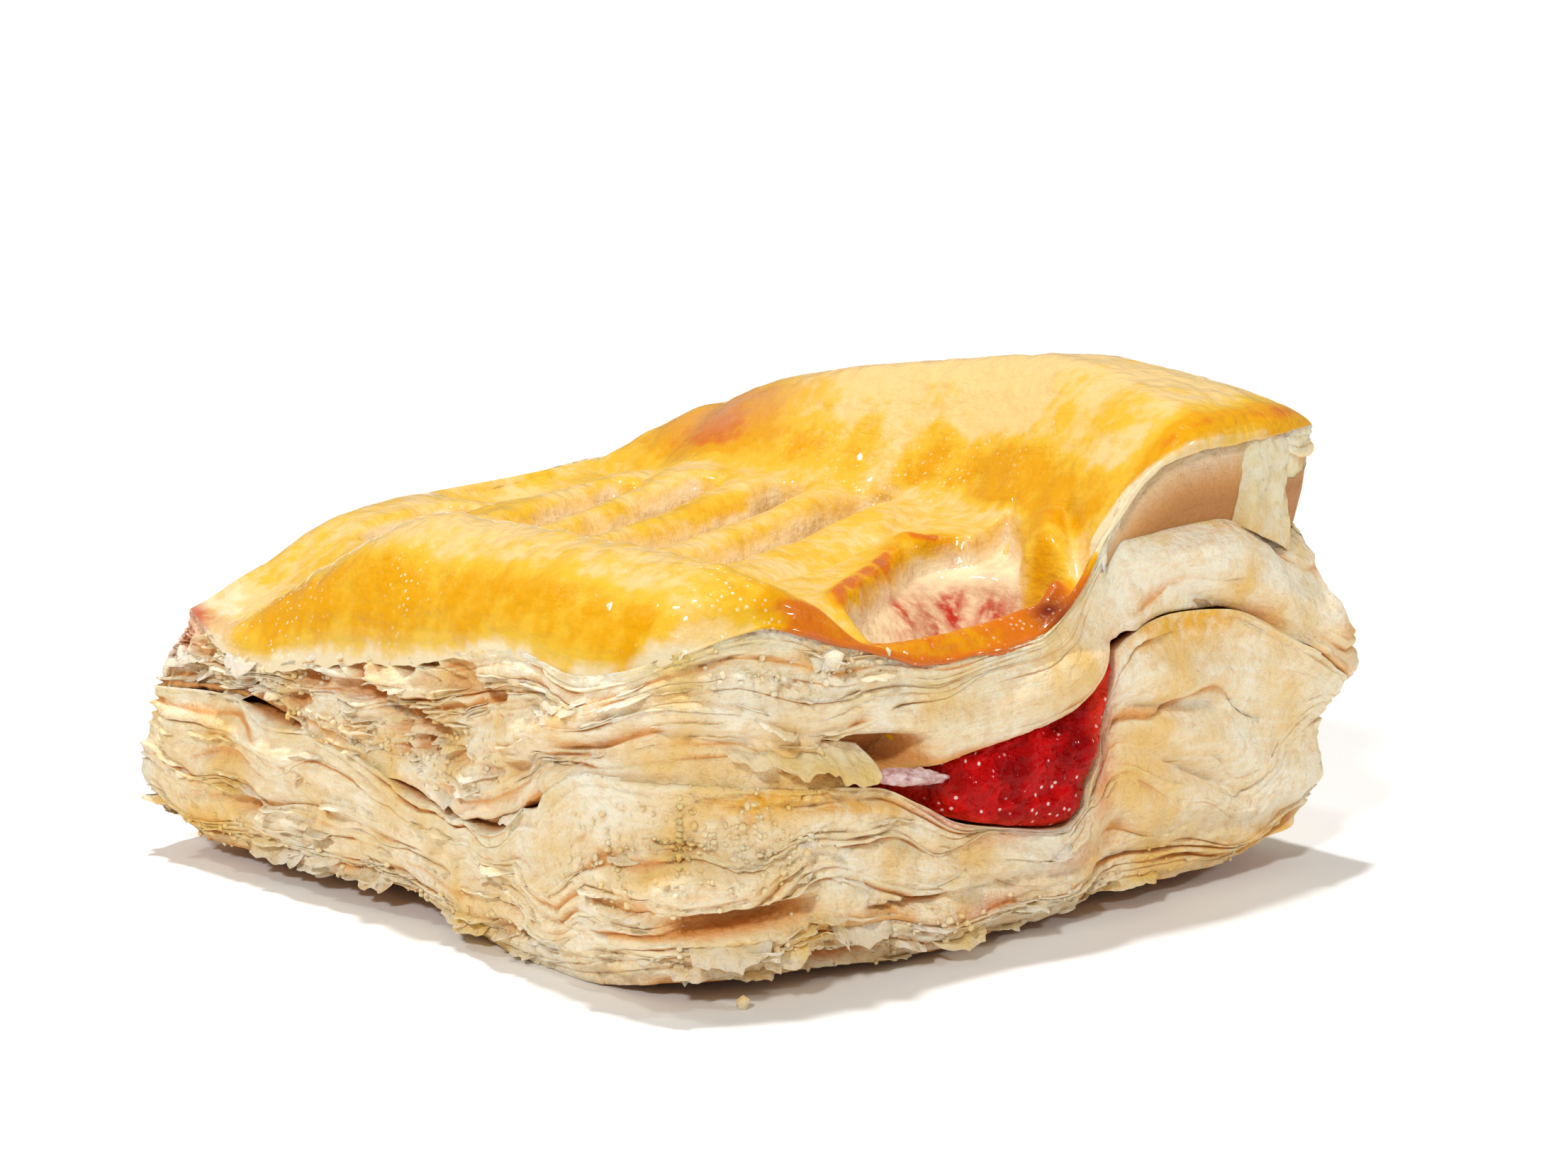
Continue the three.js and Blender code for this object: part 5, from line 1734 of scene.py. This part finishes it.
def makeFilling(material):
    made = filling
    piece = unitGrid("guavaJam", made["across"], made["up"])
    bpy.ops.object.mode_set(mode="EDIT")
    selectBorder(piece, 0.25 / made["across"])
    for _ in range(made["deep"]):
        extrudeRing(move=(0, 0, -1))
    bpy.ops.mesh.edge_face_add()
    facesOutward()
    co = coordinates(piece)
    across, up, deep = co[:, 0], co[:, 1], -co[:, 2] / made["deep"]
    y = mix(made["front"], made["back"], deep**1.5)
    right = mix(made["right"], made["rightInside"], ease((y - made["front"] - 3) / 6))
    x = mix(made["left"], right, across)
    u = (x - plan["frontLeft"][0]) / (plan["frontRight"][0] - plan["frontLeft"][0])
    for _ in range(4):  # the share across the square whose place is x
        u = u + (x - planAt(u, np.clip((y + 45) / 94, 0, 1))[0]) / 94
    v = np.clip((y - made["front"]) / (48 - made["front"]), 0, 1)
    low = lowerTop(u, v) + hollow["clearance"]
    high = upperBottom(u, v) - hollow["clearance"]
    thickness = np.clip((high - low) / hollow["thickness"], 0, 1)
    frontY = planAt(u, np.zeros_like(u))[1]
    z = mix(low, high, up)
    near, _, own = cells(x / 1.5 + 0.5 * noise(x / 2, z / 2), z / 1.3 + 0.5 * noise(x / 2 + 9, z / 2), 31)
    lumps = 0.6 * cloud(x / 3.6, z / 2.8, 3) + 0.4 * (0.6 + 0.4 * own) * (1 - near**2)
    wedge = made["wedge"]
    recess = made["recess"] + wedge["deeper"] * ease((wedge["from"] - x) / 4)
    face = frontY + recess - (made["bulge"] * np.sin(math.pi * up) + lumps) * thickness
    y = np.where(deep < 1e-6, face, np.maximum(y, frontY + made["recess"] + wedge["deeper"] + 0.6))
    place(piece, x, y, z)
    thin = ease((x - 6.8) / 2.5) * 0.8 + 0.45 * ease((0.14 - up) / 0.14) + 0.3 * ease((-8 - x) / 6)
    paint(piece, "thin", np.clip(thin, 0, 1))
    finishPiece(piece, ["guava_filling"], material)
    print("filling made")


stage = {
    "floor": 40,
    "floorColour": (0.885, 0.885, 0.88, 1),
    "skyStrength": 0.24,
    "skyColour": (1, 0.94, 0.85, 1),
    # where each sun stands, how strong it is and how wide, in degrees
    "suns": {
        "keySun": {"from": (-0.72, -0.35, 0.62), "strength": 1.35, "width": 6},
        "topSun": {"from": (0.01, 0.14, 0.98), "strength": 1.95, "width": 4},
        "glintLeft": {"from": (-0.3, 0.57, 0.76), "strength": 0.5, "width": 4},
        "fillSun": {"from": (0.6, -0.6, 0.5), "strength": 0.6, "width": 3},
    },
    "cameraAt": (-239.73, -266.53, 100.75),
    "cameraAim": (113.75, 112.53, 0),
    "lens": 75,
    "sensor": 36,
}


def makeStage():
    bpy.ops.mesh.primitive_plane_add(size=stage["floor"], location=(0, 0, 0))
    floor = bpy.context.object
    floor.name = "floor"
    material, _, shader = newMaterial("floorWhite")
    shader.inputs["Base Color"].default_value = stage["floorColour"]
    shader.inputs["Roughness"].default_value = 0.95
    shader.inputs["Specular IOR Level"].default_value = 0
    floor.data.materials.append(material)
    world = bpy.context.scene.world or bpy.data.worlds.new("studio")
    bpy.context.scene.world = world
    world.use_nodes = True
    sky = world.node_tree.nodes["Background"]
    sky.inputs["Color"].default_value = stage["skyColour"]
    sky.inputs["Strength"].default_value = stage["skyStrength"]
    for name, sun in stage["suns"].items():
        light = bpy.data.lights.new(name, "SUN")
        light.energy = sun["strength"]
        light.angle = math.radians(sun["width"])
        joinScene(name, light).rotation_euler = (-Vector(sun["from"])).to_track_quat("-Z", "Y").to_euler()
    lens = bpy.data.cameras.new("camera")
    lens.lens = stage["lens"]
    lens.sensor_width = stage["sensor"]
    camera = joinScene("camera", lens)
    at, aim = (
        Vector(((p[0] + planShift[0]) * mm, (p[1] + planShift[1]) * mm, p[2] * mm))
        for p in (stage["cameraAt"], stage["cameraAim"])
    )
    camera.location = at
    camera.rotation_euler = (aim - at).to_track_quat("-Z", "Y").to_euler()
    lens.clip_start = 0.01
    bpy.context.scene.camera = camera
    bpy.context.scene.view_settings.view_transform = "Standard"
    print("stage made")


makeStage()
dough = doughMaterial()
walls = [makeLowerDough(dough), makeUpperDough(dough)]
makeFlakes(walls, dough)
for sheetName in sheets:
    makeSheet(sheetName, walls, dough)
makeSmear(walls)
makeCrumbs(walls, dough)
makeCrust(crustMaterial())
makeFilling(guavaMaterial())
